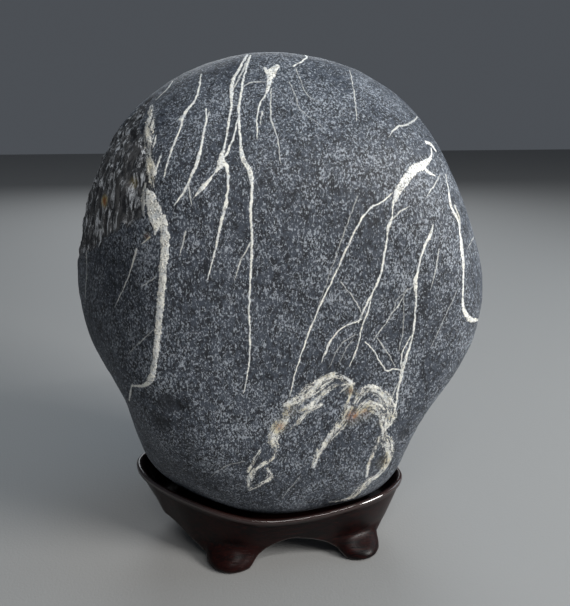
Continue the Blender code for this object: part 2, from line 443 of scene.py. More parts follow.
VEINS = (
    Vein("crown strand", ((247, 55, 1.4), (239, 69, 1.5), (232, 84, 1.9), (231, 108, 1.2),
                          (228, 126, 1.0), (224, 148, 1.1), (222, 155, 2.0), (221, 163, 4.2),
                          (217, 170, 1.6))),
    Vein("crown strand, inner", ((249, 57, 1.0), (243, 70, 1.0), (236, 84, 1.0), (231, 92, 0.8)),
         Texture.FAINT),
    Vein("left leaf", ((217, 170, 0.5), (211, 178, 1.1), (206, 183, 2.2), (201, 189, 2.2),
                       (194, 197, 0.5))),
    Vein("short leg", ((223, 163, 1.6), (227, 167, 1.7), (228, 183, 1.1), (227, 196, 1.3),
                       (225, 208, 1.8), (220, 228, 1.2), (217, 244, 1.1), (212, 262, 0.8),
                       (208, 278, 0.5))),
    Vein("long leg", ((250, 56, 1.0), (244, 76, 1.0), (241, 94, 1.3), (239, 111, 1.3),
                      (240, 140, 1.2), (243, 158, 1.9), (249, 168, 2.2), (251, 176, 2.4),
                      (252, 188, 1.4), (251, 211, 1.3), (252, 242, 1.1), (250, 281, 1.1),
                      (249, 313, 0.9), (250, 346, 0.9), (248, 371, 0.8), (244, 392, 0.4))),
    Vein("crossing", ((239, 114, 0.7), (234, 134, 1.0), (228, 151, 1.2), (224, 158, 1.2))),
    Vein("fine branch", ((250, 244, 0.7), (240, 262, 0.7), (235, 279, 0.4)), Texture.FAINT),
    Vein("left slanting", ((201, 75, 0.8), (198, 92, 1.2), (192, 104, 1.5), (184, 114, 1.5),
                           (180, 129, 1.0), (172, 149, 1.1), (164, 175, 0.8))),
    Vein("left slanting spur", ((181, 118, 1.4), (186, 113, 0.6)), Texture.FAINT),
    Vein("fork", ((206, 110, 0.9), (206, 121, 1.0), (202, 140, 1.1), (198, 160, 1.9),
                  (191, 176, 1.3), (185, 190, 1.3), (175, 204, 0.6))),
    Vein("fork prong", ((209, 113, 0.8), (206, 122, 0.7)), Texture.FAINT),
    Vein("fork side", ((190, 178, 0.9), (189, 190, 0.9), (191, 203, 0.5)), Texture.FAINT),
    Vein("star", ((276, 67, 3.4), (272, 72, 4.6), (270, 80, 3.2), (268, 88, 1.9),
                  (265, 96, 0.9), (259, 106, 1.0), (257, 122, 0.8), (257, 138, 0.4))),
    Vein("star corner", ((265, 69, 2.0), (270, 74, 2.6), (278, 68, 1.3))),
    Vein("star tail", ((271, 90, 0.6), (271, 117, 0.7), (277, 136, 0.6), (281, 163, 0.3)),
         Texture.FAINT),
    Vein("star arc", ((243, 87, 0.8), (252, 82, 0.9), (265, 82, 0.6)), Texture.FAINT),
    Vein("star fleck", ((262, 113, 1.0), (261, 124, 0.6)), Texture.FAINT),
    Vein("crown hair, left", ((290, 83, 0.6), (297, 99, 0.6), (301, 109, 0.5), (320, 125, 0.3)),
         Texture.HAIR),
    Vein("crown hair, middle", ((296, 70, 0.7), (301, 81, 0.7), (307, 94, 0.6), (320, 103, 0.3)),
         Texture.HAIR),
    Vein("crown hair, right", ((350, 70, 0.6), (354, 92, 0.7), (357, 119, 0.4)), Texture.FAINT),
    Vein("left brow", ((175, 77, 0.7), (168, 87, 1.3), (156, 98, 0.7))),
    Vein("thick band, head", ((147, 191, 1.8), (150, 197, 5.0), (153, 207, 6.9), (155, 216, 7.0),
                              (156, 224, 5.4), (155, 232, 1.8))),
    Vein("thick band, side lobe", ((144, 185, 1.4), (142, 194, 3.0), (142, 203, 3.2),
                                   (143, 214, 1.0)), Texture.FAINT),
    Vein("strip fleck, high", ((156, 137, 0.6), (155, 142, 1.6), (153, 147, 0.5))),
    Vein("strip fleck, low", ((160, 158, 1.5), (157, 166, 1.1), (155, 174, 0.5))),
    Vein("thick band", ((164, 218, 1.8), (164, 226, 3.7), (165, 245, 4.3), (163, 272, 3.8),
                        (161, 299, 3.6), (159, 318, 3.7), (157, 338, 3.4), (155, 360, 3.1),
                        (151, 378, 3.3), (147, 384, 2.2), (140, 386, 1.5), (132, 386, 1.2))),
    Vein("thick band, toe", ((132, 385, 1.0), (130, 392, 1.7), (129, 400, 1.1))),
    Vein("cheek slant", ((136, 251, 1.4), (131, 268, 1.0), (124, 286, 0.8), (115, 306, 0.4))),
    Vein("cheek link", ((149, 238, 1.0), (143, 243, 0.6)), Texture.FAINT),
    Vein("edge strand", ((86, 250, 1.2), (87, 268, 1.1), (86, 285, 1.0), (85, 303, 0.5)),
         Texture.FAINT),
    Vein("inner fleck", ((185, 233, 0.9), (183, 242, 0.9), (180, 254, 0.4)), Texture.FAINT),
    Vein("cheek hair, low", ((154, 329, 0.6), (141, 341, 0.6), (129, 353, 0.4)), Texture.HAIR),
    Vein("cheek hair, high", ((155, 277, 0.5), (147, 283, 0.8), (142, 286, 0.4)), Texture.HAIR),
    Vein("right blob", ((431, 149, 0.9), (430, 158, 1.8), (424, 164, 4.4), (414, 170, 4.8),
                        (407, 178, 4.6), (400, 188, 4.2), (396, 197, 3.0), (393, 206, 1.0))),
    Vein("right blob, cap", ((427, 143, 2.4), (431, 145, 3.4), (434, 149, 2.6))),
    Vein("right blob, hook", ((423, 166, 1.4), (429, 172, 2.0), (434, 175, 0.8))),
    Vein("right leg", ((393, 206, 0.9), (392, 216, 1.0), (390, 222, 1.8), (388, 229, 1.9),
                       (387, 238, 0.9), (384, 256, 1.2), (380, 276, 1.2), (371, 296, 1.2),
                       (364, 310, 1.0), (359, 321, 1.2))),
    Vein("right leg, second", ((374, 289, 0.6), (367, 314, 0.9), (361, 330, 0.9), (358, 345, 0.8),
                               (354, 356, 0.8), (350, 365, 0.4))),
    Vein("right leg, spur", ((408, 207, 0.5), (401, 211, 0.8), (393, 218, 0.8)), Texture.FAINT),
    Vein("long diagonal", ((391, 194, 0.8), (383, 201, 0.7), (371, 208, 1.0), (362, 218, 1.2),
                           (355, 230, 1.0), (346, 250, 1.0), (336, 272, 1.0), (327, 291, 0.9),
                           (317, 313, 1.0), (307, 338, 0.9), (303, 350, 0.8), (295, 373, 0.8),
                           (290, 395, 0.5))),
    Vein("long diagonal, twin", ((357, 197, 0.5), (350, 216, 0.6), (337, 252, 0.6),
                                 (318, 308, 0.3)), Texture.HAIR),
    Vein("bow", ((360, 320, 1.0), (352, 323, 1.1), (342, 328, 1.0), (334, 336, 1.0),
                 (329, 343, 1.2), (326, 351, 1.2), (322, 361, 0.5))),
    Vein("bow, second", ((355, 335, 0.5), (343, 342, 0.6), (336, 352, 0.6), (330, 366, 0.3)),
         Texture.HAIR),
    Vein("bow, third", ((352, 340, 0.4), (345, 350, 0.5), (339, 365, 0.3)), Texture.HAIR),
    Vein("cross hair", ((341, 283, 0.5), (353, 297, 0.6), (361, 312, 0.5)), Texture.FAINT),
    Vein("right edge", ((446, 176, 0.8), (449, 192, 1.5), (452, 208, 2.2), (457, 218, 1.7),
                        (460, 232, 1.5), (462, 248, 3.0), (463, 262, 2.3), (463, 280, 1.2),
                        (463, 299, 1.5), (464, 309, 2.3), (467, 316, 3.2), (472, 320, 3.0),
                        (478, 320, 1.6))),
    Vein("right edge, stain side", ((456, 207, 1.8), (459, 217, 1.4), (460, 230, 0.6)),
         Texture.FAINT),
    Vein("right inner", ((433, 226, 0.7), (430, 236, 2.3), (426, 243, 1.6), (421, 258, 1.0),
                         (417, 274, 1.4), (415, 283, 2.6), (416, 297, 1.5), (415, 311, 1.0),
                         (414, 326, 1.2), (411, 343, 1.1), (406, 357, 1.7), (402, 372, 2.4),
                         (399, 388, 1.2), (395, 409, 1.0), (391, 424, 0.5))),
    Vein("right inner, second", ((412, 335, 0.6), (404, 348, 0.8), (401, 362, 0.8),
                                 (402, 372, 0.8))),
    Vein("right inner, foot", ((401, 377, 0.8), (395, 391, 0.8), (390, 405, 0.4)), Texture.FAINT),
    Vein("cradle", ((366, 343, 0.6), (373, 350, 0.8), (381, 363, 0.8), (387, 371, 1.0),
                    (394, 369, 0.9), (402, 371, 0.8))),
    Vein("slant strand", ((407, 290, 0.5), (400, 303, 0.7), (392, 313, 0.7), (384, 326, 0.7),
                          (375, 338, 0.6)), Texture.FAINT),
    Vein("cradle hair", ((378, 339, 0.5), (386, 350, 0.8), (395, 366, 0.4)), Texture.FAINT),
    Vein("inner hair", ((414, 285, 0.5), (398, 299, 0.5), (391, 318, 0.3)), Texture.HAIR),
    Vein("tall hair", ((404, 293, 0.5), (403, 330, 0.6), (399, 350, 0.4)), Texture.HAIR),
    Vein("far hair", ((457, 290, 0.5), (444, 320, 0.6), (431, 347, 0.3)), Texture.HAIR),
    Vein("right hair", ((439, 250, 0.7), (436, 268, 0.8), (431, 288, 0.4)), Texture.FAINT),
    Vein("right brow", ((419, 116, 0.9), (408, 124, 1.1), (397, 127, 0.9), (389, 136, 0.4)),
         Texture.FAINT),
    Vein("brow fall", ((440, 176, 0.6), (433, 187, 0.8), (427, 196, 0.4)), Texture.FAINT),
    Vein("edge fleck", ((474, 237, 0.8), (468, 248, 0.4)), Texture.FAINT),
    Vein("hair under blob", ((352, 380, 0.5), (347, 386, 1.5), (341, 392, 0.6)), Texture.FAINT),
    Vein("low faint, left", ((243, 461, 0.5), (226, 466, 0.6), (210, 478, 0.3)), Texture.HAIR),
    Vein("low faint, right", ((299, 478, 0.5), (289, 490, 0.5), (282, 498, 0.3)), Texture.HAIR),
    Vein("back long", ((168, 62, 0.8), (172, 40, 1.6), (166, 18, 2.2), (171, -6, 1.4),
                       (165, -30, 0.8)), Texture.CLEAN, Chart.ROUND),
    Vein("back branch", ((167, 20, 1.0), (154, 8, 1.3), (146, -10, 0.9), (142, -26, 0.4)),
         Texture.CLEAN, Chart.ROUND),
    Vein("back slant", ((206, 54, 0.7), (212, 34, 1.2), (204, 12, 1.0), (209, -14, 0.4)),
         Texture.CLEAN, Chart.ROUND),
    Vein("back hair", ((190, 44, 0.5), (186, 22, 0.7), (194, -2, 0.6), (188, -24, 0.3)),
         Texture.FAINT, Chart.ROUND),
    Vein("back cross", ((150, 34, 0.5), (166, 26, 0.8), (186, 28, 0.7), (204, 20, 0.3)),
         Texture.FAINT, Chart.ROUND),
    Vein("right side long", ((96, 60, 0.7), (100, 38, 1.5), (95, 14, 1.9), (101, -8, 1.2),
                             (96, -30, 0.5)), Texture.CLEAN, Chart.ROUND),
    Vein("right side branch", ((97, 22, 0.8), (110, 6, 1.1), (117, -14, 0.8), (122, -30, 0.3)),
         Texture.FAINT, Chart.ROUND),
    Vein("left side long", ((-104, 40, 0.6), (-112, 12, 1.3), (-106, -12, 1.0), (-111, -34, 0.4)),
         Texture.CLEAN, Chart.ROUND),
    Vein("left side hair", ((-126, 30, 0.5), (-121, 4, 0.7), (-129, -22, 0.3)),
         Texture.FAINT, Chart.ROUND),
    Vein("crown to back", ((10, 78, 1.0), (80, 84, 1.3), (150, 74, 1.2), (166, 60, 0.6)),
         Texture.CLEAN, Chart.ROUND),
)

BANDS = (
    Vein("arch, crest", ((350, 383, 2.8), (342, 378, 3.2), (334, 376, 3.6), (326, 380, 4.6),
                         (316, 387, 6.0), (306, 394, 6.2), (297, 401, 4.2), (288, 404, 2.6))),
    Vein("arch, under strand", ((345, 384, 1.2), (334, 386, 1.8), (326, 391, 2.4), (318, 399, 2.6),
                                (309, 406, 2.4), (302, 410, 2.0))),
    Vein("arch, third strand", ((318, 406, 2.6), (306, 412, 2.2), (298, 422, 1.7),
                                (292, 428, 0.8))),
    Vein("arch, left limb", ((288, 404, 1.6), (286, 412, 2.4), (284, 420, 4.0), (277, 429, 5.2),
                             (273, 439, 4.4), (275, 447, 3.0), (275, 456, 1.8), (268, 461, 1.8),
                             (257, 467, 2.2), (251, 475, 2.6), (249, 485, 1.8))),
    Vein("arch, right limb", ((351, 384, 2.0), (351, 391, 1.5), (349, 399, 1.4), (346, 407, 1.6))),
    Vein("slanting band", ((349, 410, 2.6), (343, 421, 4.4), (335, 432, 3.8), (327, 441, 3.4),
                           (318, 454, 2.8), (314, 465, 2.0))),
    Vein("knot, rim", ((357, 400, 2.4), (361, 393, 3.8), (370, 389, 4.4), (379, 392, 4.4),
                       (387, 400, 4.6), (392, 410, 4.6), (392, 420, 3.6), (387, 427, 2.0))),
    Vein("knot, heart", ((357, 414, 3.2), (365, 407, 6.0), (375, 406, 6.6), (383, 413, 5.4),
                         (384, 423, 3.4))),
    Vein("down from knot", ((384, 430, 2.2), (385, 438, 4.4), (389, 446, 5.4), (390, 455, 4.2),
                            (386, 466, 3.8), (378, 475, 3.6), (368, 481, 4.4), (359, 490, 5.0),
                            (349, 498, 4.0), (332, 502, 1.8))),
    Vein("down from knot, inner", ((378, 440, 1.8), (374, 452, 1.6), (369, 464, 1.6),
                                   (367, 475, 1.4))),
    Vein("loop, left", ((259, 452, 1.2), (253, 462, 1.7), (249, 470, 1.4))),
    Vein("loop, foot", ((251, 489, 1.4), (262, 483, 2.2), (270, 477, 2.6), (268, 470, 1.4))),
    Vein("white strip", ((151, 106, 1.6), (150, 118, 3.4), (149, 130, 5.0), (148, 142, 3.8),
                         (148, 152, 2.6), (149, 160, 3.4), (151, 169, 4.6), (151, 178, 3.2),
                         (152, 184, 1.2))),
)

STAINS = (
    Spot("patch rust", 103, 201, 3.0, 1.0),
    Spot("patch rust, low", 147, 236, 1.8, 1.0),
    Spot("patch ochre", 132, 182, 3.0, 0.5),
    Spot("strip ochre", 149, 166, 3.0, 0.5),
    Spot("arch ochre", 280, 426, 4.4, 0.80),
    Spot("arch olive", 290, 411, 4.6, 0.65),
    Spot("arch ochre, inner", 304, 412, 4.0, 0.35),
    Spot("knot rust", 352, 416, 5.4, 0.95),
    Spot("knot rust, inner", 365, 413, 5.0, 0.80),
    Spot("arch limb ochre", 350, 391, 3.0, 0.8),
    Spot("knot ochre, side", 379, 424, 3.4, 0.4),
    Spot("knot ochre, low", 384, 462, 5.6, 0.65),
    Spot("foot ochre", 361, 487, 4.0, 0.35),
    Spot("edge ochre", 458, 216, 4.0, 0.4),
)

DENTS = (
    Spot("left dimple", 166, 404, 6.0, 1.1),
    Spot("left dimple, heart", 179, 409, 3.0, 1.5),
    Spot("left hollow", 160, 424, 6.5, 0.9),
    Spot("right dent", 405, 436, 5.0, 1.1),
    Spot("patch notch", 119, 137, 2.6, 1.6),
)

# The rough patch's outline: its front part in pixels, then round its back in degrees.
PATCH_FRONT = ((152, 96), (151, 150), (153, 182), (143, 193), (141, 214), (126, 226), (108, 236),
               (96, 246), (86, 250))
PATCH_BACK = ((-104, 6), (-112, 22), (-108, 40), (-90, 46))


class Skin:
    """The stone's solid as a surface that routes are laid on."""

    def __init__(self, mesh: bpy.types.Mesh, heart: Vector, viewpoint: Viewpoint) -> None:
        """Keep a search tree of the surface.

        Args:
            mesh: the stone's solid.
            heart: a point inside it that round charts are measured from.
            viewpoint: the camera that picture charts are measured from.
        """
        shape = bmesh.new()
        shape.from_mesh(mesh)
        self.tree = BVHTree.FromBMesh(shape)
        shape.free()
        self.heart = heart
        self.viewpoint = viewpoint

    def at_pixel(self, across: float, down: float) -> tuple[Vector, Vector]:
        """The skin seen through a pixel, or its nearest point if the pixel just misses.

        Args:
            across: pixels from the frame's left edge.
            down: pixels from its top edge.

        Returns:
            The point and the outward normal there.
        """
        start, way = self.viewpoint.ray(across, down)
        place, normal, _, _ = self.tree.ray_cast(start, way)
        if place is None:
            reach = (self.heart - start).dot(way)
            place, normal, _, _ = self.tree.find_nearest(start + way * reach)
        return place, normal

    def at_bearing(self, bearing: float, pitch: float) -> tuple[Vector, Vector]:
        """The skin in a direction from the heart.

        Args:
            bearing: degrees round from the front, right-hand side positive.
            pitch: degrees above the horizon.

        Returns:
            The point and the outward normal there.
        """
        turn, lift = math.radians(bearing), math.radians(pitch)
        level = math.cos(lift)
        way = Vector((math.sin(turn) * level, -math.cos(turn) * level, math.sin(lift)))
        place, normal, _, _ = self.tree.ray_cast(self.heart, way)
        return place, normal

    def lay(self, vein: Vein) -> tuple[np.ndarray, np.ndarray, np.ndarray]:
        """Lay a vein's route on the skin.

        Args:
            vein: the vein.

        Returns:
            Points along it, the outward normals there, and its half-widths in millimetres.
        """
        find = self.at_pixel if vein.chart is Chart.PICTURE else self.at_bearing
        stops = smooth_route(np.array(vein.stops, float))
        laid = [find(x, y) for x, y, _ in stops]
        places = np.array([place for place, _ in laid])
        normals = np.array([normal for _, normal in laid])
        return places, normals, stops[:, 2] / 2.0


def smooth_route(stops: np.ndarray, pieces: int = 6) -> np.ndarray:
    """Draw a smooth curve through stops.

    Args:
        stops: one row for each stop.
        pieces: how many steps the curve takes from one stop to the next.

    Returns:
        The curve's points, the stops among them.
    """
    ends = np.vstack((2 * stops[0] - stops[1], stops, 2 * stops[-1] - stops[-2]))
    curve = []
    for i in range(1, len(ends) - 2):
        a, b, c, d = ends[i - 1:i + 3]
        for t in np.arange(pieces) / pieces:
            bend = 2 * a - 5 * b + 4 * c - d + t * (3 * (b - c) + d - a)
            curve.append(b + 0.5 * t * (c - a + t * bend))
    curve.append(stops[-1])
    return np.array(curve)


class VeinField:
    """Veins sorted into layers, so that no two near each other share one."""

    clearance: float = 4.0      # millimetres kept between two veins of a layer
    margin: float = 7.0         # millimetres round a vein in which vertices know of it

    def __init__(self, skin: Skin, veins: tuple) -> None:
        """Lay every vein and sort them.

        Args:
            skin: what they are laid on.
            veins: the veins.
        """
        self.layers: list[list] = []
        for vein in veins:
            route = (vein, *skin.lay(vein))
            free = next((layer for layer in self.layers if self._clear(route, layer)), None)
            if free is None:
                free = []
                self.layers.append(free)
            free.append(route)

    def _clear(self, route: tuple, layer: list) -> bool:
        """Whether a route keeps clear of every other in a layer.

        Args:
            route: a vein, and its places, normals and half-widths.
            layer: the routes already there.

        Returns:
            True if it does.
        """
        _, places, _, halves = route
        for _, others, _, other_halves in layer:
            gap = np.linalg.norm(places[:, None] - others[None], axis=2) / MM
            if (gap - halves[:, None] - other_halves[None]).min() < self.clearance:
                return False
        return True

    def measure(self, points: np.ndarray, layer: list) -> tuple[np.ndarray, np.ndarray]:
        """Measure points against the veins of a layer.

        Args:
            points: one row for each point, in metres.
            layer: the routes to measure against.

        Returns:
            For each point: its distance to the side, its distance, the vein's half-width and
            the distance along it, all in millimetres; and the strength of the vein's fill.
        """
        out = np.tile((FAR, FAR, 0.0, 0.0), (len(points), 1))
        strength = np.zeros(len(points))
        for vein, places, normals, halves in layer:
            low, high = places.min(0) - self.margin * MM, places.max(0) + self.margin * MM
            near = np.flatnonzero(np.all((points > low) & (points < high), axis=1))
            if not len(near):
                continue
            run = places[1:] - places[:-1]
            length = np.maximum(np.linalg.norm(run, axis=1), 1e-7)
            offset = points[near, None] - places[None, :-1]
            share = np.clip(np.einsum("nkj,kj->nk", offset, run) / length ** 2, 0.0, 1.0)
            gap = offset - share[..., None] * run[None]
            reach = np.linalg.norm(gap, axis=2)
            best = reach.argmin(1)
            rows = np.arange(len(near))
            side = np.cross(normals[:-1], run / length[:, None])
            lateral = np.einsum("nj,nj->n", gap[rows, best], side[best]) / MM
            reach, share = reach[rows, best] / MM, share[rows, best]
            half = halves[best] + (halves[best + 1] - halves[best]) * share
            along = (np.concatenate(([0.0], np.cumsum(length)))[best] + length[best] * share) / MM
            nearer = reach < out[near, 1]
            chosen = near[nearer]
            out[chosen] = np.stack((lateral, reach, half, along), 1)[nearer]
            strength[chosen] = vein.fill.value
        return out, strength


# ------------------------------------------------------------------ the stone
@dataclass(frozen=True)
class StoneFinish:
    """Fine-grained dark stone with pale specks, white veins, rust and a rough patch.

    A grain is noise: lumps to the millimetre, finer layers, their strength and, for some,
    a bend.  An edge is the two values between which a mark goes from none to full.
    """

    dark: tuple = (0.010, 0.012, 0.017)
    middle: tuple = (0.050, 0.060, 0.079)
    pale: tuple = (0.480, 0.520, 0.575)
    cream: tuple = (0.940, 0.925, 0.855)
    milk: tuple = (0.700, 0.720, 0.725)
    rust: tuple = (0.330, 0.115, 0.025)
    ochre: tuple = (0.460, 0.370, 0.130)
    patch_dark: tuple = (0.020, 0.020, 0.022)
    patch_pale: tuple = (0.860, 0.880, 0.910)
    patch_brown: tuple = (0.100, 0.098, 0.098)

    mottle_grain: tuple = (0.42, 4.0, 0.62)
    speck_grain: tuple = (1.15, 3.0, 0.60)
    fine_grain: tuple = (3.1, 2.0, 0.5)
    cloud_grain: tuple = (0.045, 3.0)
    gather_grain: tuple = (0.13, 3.0, 0.6)
    dash_grain: tuple = (1.0, 2.0)
    torn_grain: tuple = (0.16, 4.0, 0.6)
    streak_grain: tuple = (0.38, 6.0, 0.74, 0.7)
    earth_grain: tuple = (0.28, 2.0)
    crack_grain: tuple = (1.1, 3.0, 0.6, 0.6)
    jog_grain: tuple = (0.30, 3.0, 0.6)
    pinch_grain: tuple = (0.22, 3.0, 0.6)
    fray_grain: tuple = (1.25, 4.0, 0.72)
    strand_grain: tuple = (1.0, 4.0, 0.66, 0.7)
    flaw_grain: tuple = (0.95, 4.0, 0.75)
    broken_grain: tuple = (0.33, 3.0, 0.7)
    tint_grain: tuple = (0.16, 4.0, 0.7)

    speck_edge: tuple = (0.55, 0.63)
    dash_edge: tuple = (0.59, 0.68)
    mottle_edge: tuple = (0.38, 0.60)
    patch_edge: tuple = (-0.4, 0.8)         # millimetres inside the patch's outline
    earth_edge: tuple = (0.42, 0.58)
    streak_edge: tuple = (0.50, 0.64)
    crack_edge: tuple = (0.55, 0.64)
    shadow_edge: tuple = (0.25, 0.85)
    vein_edge: tuple = (-0.10, 0.16)        # millimetres inside a vein
    vein_end: tuple = (0.30, 0.90)          # millimetres past a vein's end
    band_edge: tuple = (-0.25, 0.35)
    band_end: tuple = (0.4, 1.4)
    strand_edge: tuple = (0.465, 0.520)
    milk_edge: tuple = (0.38, 0.58)
    flaw_edge: tuple = (0.55, 0.62)
    broken_edge: tuple = (0.30, 0.44)
    tint_edge: tuple = (0.50, 0.66)
    rust_edge: tuple = (0.45, 0.95)
    stain_edge: tuple = (0.15, 0.95)

    speck_cover: float = 0.62
    dash_cover: float = 0.55
    patch_cover: float = 0.90
    crack_cover: float = 0.95
    shadow_cover: float = 0.72
    flaw_cover: float = 0.60
    tint_cover: float = 0.48
    speck_draw: tuple = ((1.0, 1.0, 0.72), 14.0)    # stretch, and degrees it leans
    dash_draw: tuple = ((2.6, 2.6, 0.80), -24.0)
    flake_draw: tuple = ((1.0, 1.0, 0.24), 12.0)
    pinch_turn: tuple = (0.4, 0.0, 0.0)
    wander: float = 16.0        # millimetres that the patch's outline wanders
    fray: float = 0.55          # millimetres that a vein's edge wanders
    jog: float = 1.5            # millimetres that a vein sways from its route
    breadth: float = 0.78       # of what a vein's route says that is solid mineral
    gloss: float = 0.42
    grain_depth: float = 0.00022

    def build(self, vein_layers: int, band_layers: int) -> bpy.types.Material:
        """Make the material.

        Args:
            vein_layers: how many vein layers the mesh keeps.
            band_layers: how many band layers the mesh keeps.

        Returns:
            The material.
        """
        paint = Paint("veined_stone")
        graph, place = paint.graph, paint.place
        drawn = self._drawn(paint, self.speck_draw)
        mottle = graph.noise(drawn, *self.mottle_grain)
        speck = graph.noise(drawn, *self.speck_grain)
        fine = graph.noise(place, *self.fine_grain)
        cloudy = mottle + (fine - 0.5) * 0.40

        colour = self._ground(paint, speck, fine, cloudy)
        patch, streak, flaky = self._patch(paint, mottle)
        shadow = graph.step(paint.number("shadow") + (mottle - 0.5) * 0.5, *self.shadow_edge)
        colour = graph.blend(shadow * self.shadow_cover, colour, self.dark)
        colour = graph.blend(patch * self.patch_cover, colour, flaky)

        fray = (graph.noise(place, *self.fray_grain) - 0.5) * 2.0
        bands = self._bands(paint, band_layers, fray)
        broken = graph.step(graph.noise(place, *self.broken_grain), *self.broken_edge) * 0.55 + 0.45
        cover = (self._veins(paint, vein_layers, fray) * broken).over(bands)
        colour = graph.blend(cover, colour, self._mineral(paint, drawn, cloudy, bands))

        stain = paint.number("stain")
        tint = graph.blend(graph.step(stain, *self.rust_edge), self.ochre, self.rust)
        spread = graph.step(stain + (mottle - 0.5) * 0.7, *self.stain_edge)
        colour = graph.blend(spread * (cover.over(patch) * 0.75 + 0.15), colour, tint)

        rough = 0.62 + (fine - 0.5) * 0.24 + patch * 0.22 - cover * 0.10
        height = speck * 0.45 + fine * 0.35 + cover * 0.55 + patch * streak * 1.2
        sockets = {"Base Color": colour, "Roughness": rough, "Specular IOR Level": self.gloss}
        return paint.finish(sockets, height, self.grain_depth)

    @staticmethod
    def _drawn(paint: Paint, draw: tuple) -> Wire:
        """The place leant over and stretched, so that marks on it are drawn out."""
        stretch, lean = draw
        return paint.graph.scaled(paint.place, stretch, (0.0, math.radians(lean), 0.0))

    def _ground(self, paint: Paint, speck: Wire, fine: Wire, cloudy: Wire) -> Wire:
        """The plain ground, dark and mottled with pale specks and dashes.

        Args:
            paint: the material being made.
            speck: noise of the specks' size.
            fine: noise of the finest grain.
            cloudy: the mottling with fine grain in it.

        Returns:
            Its colour.
        """
        graph, place = paint.graph, paint.place
        cloud = graph.noise(place, *self.cloud_grain)
        patchy = graph.noise(place, *self.gather_grain)
        gather = (cloud - 0.5) * 0.20 + (patchy - 0.5) * 0.15
        dashes = graph.noise(self._drawn(paint, self.dash_draw), *self.dash_grain)
        crystal = graph.step(speck + gather + (fine - 0.5) * 0.34, *self.speck_edge)
        dash = graph.step(dashes + gather, *self.dash_edge)
        colour = graph.blend(graph.step(cloudy, *self.mottle_edge), self.dark, self.middle)
        colour = graph.blend(crystal * self.speck_cover, colour, self.pale)
        return graph.blend(dash * self.dash_cover, colour, self.pale)

    def _patch(self, paint: Paint, mottle: Wire) -> tuple[Wire, Wire, Wire]:
        """The rough patch's flakes, earth and cracks.

        Args:
            paint: the material being made.
            mottle: the ground's mottling, which frays the outline.

        Returns:
            How much a point is patch, the flakes' noise, and the patch's colour.
        """
        graph = paint.graph
        torn = graph.noise(paint.place, *self.torn_grain)
        outline = paint.number("patch") + (torn - 0.5) * self.wander + (mottle - 0.5) * 4.0
        flaky = self._drawn(paint, self.flake_draw)
        streak = graph.noise(flaky, *self.streak_grain)
        earth = graph.step(graph.noise(flaky, *self.earth_grain), *self.earth_edge)
        crack = graph.step(graph.noise(flaky, *self.crack_grain), *self.crack_edge)
        colour = graph.blend(earth, self.patch_dark, self.patch_brown)
        colour = graph.blend(graph.step(streak, *self.streak_edge), colour, self.patch_pale)
        colour = graph.blend(crack * self.crack_cover, colour, self.patch_dark)
        return graph.step(outline, *self.patch_edge), streak, colour

    def _veins(self, paint: Paint, layers: int, fray: Wire) -> Wire:
        """How much a point is vein, from 0 to 1.

        Args:
            paint: the material being made.
            layers: how many vein layers the mesh keeps.
            fray: noise from -1 to 1 that frays the edges.

        Returns:
            The cover of every layer together.
        """
        graph = paint.graph
        jog = (graph.noise(paint.place, *self.jog_grain) - 0.5) * self.jog
        turned = graph.scaled(paint.place, (1.0, 1.0, 1.0), self.pinch_turn)
        pinch = graph.noise(turned, *self.pinch_grain) * 1.1 + 0.45
        cover = None
        for i in range(layers):
            side, reach, half = paint.triple(f"vein_{i}")
            half = half * self.breadth * pinch
            inside = half - abs(side + jog) + fray * (half * 0.55 + self.fray * 0.45)
            near = 1.0 - graph.step(reach - half, *self.vein_end)
            one = graph.step(inside, *self.vein_edge) * near * paint.number(f"strength_{i}")
            cover = one if cover is None else cover.over(one)
        return cover

    def _bands(self, paint: Paint, layers: int, fray: Wire) -> Wire:
        """How much a point is stranded band, from 0 to 1.

        Args:
            paint: the material being made.
            layers: how many band layers the mesh keeps.
            fray: noise from -1 to 1 that frays the edges.

        Returns:
            The cover of every layer together.
        """
        graph = paint.graph
        cover = None
        for i in range(layers):
            side, reach, half = paint.triple(f"band_{i}")
            inside = half - abs(side) + fray * (half * 1.1 + 0.8)
            near = 1.0 - graph.step(reach - half, *self.band_end)
            run = paint.number(f"band_run_{i}")
            vector = {"X": run * 0.17, "Y": side * 0.95 + fray * 0.9, "Z": float(i * 7)}
            along = graph.add("ShaderNodeCombineXYZ", None, vector)["Vector"]
            strand = graph.step(graph.noise(along, *self.strand_grain), *self.strand_edge)
            one = graph.step(inside, *self.band_edge) * near * (strand * 0.96 + 0.04)
            cover = one if cover is None else cover.over(one)
        return cover

    def _mineral(self, paint: Paint, drawn: Wire, cloudy: Wire, bands: Wire) -> Wire:
        """The mineral of veins and bands: cream and milk, flawed, tinted in the bands.

        Args:
            paint: the material being made.
            drawn: the place as the specks are drawn.
            cloudy: the mottling with fine grain in it.
            bands: how much a point is band.

        Returns:
            Its colour.
        """
        graph = paint.graph
        flaw = graph.step(graph.noise(drawn, *self.flaw_grain), *self.flaw_edge)
        tint = graph.step(graph.noise(paint.place, *self.tint_grain), *self.tint_edge) * bands
        colour = graph.blend(graph.step(cloudy, *self.milk_edge), self.milk, self.cream)
        colour = graph.blend(flaw * self.flaw_cover, colour, self.dark)
        return graph.blend(tint * self.tint_cover, colour, self.ochre)


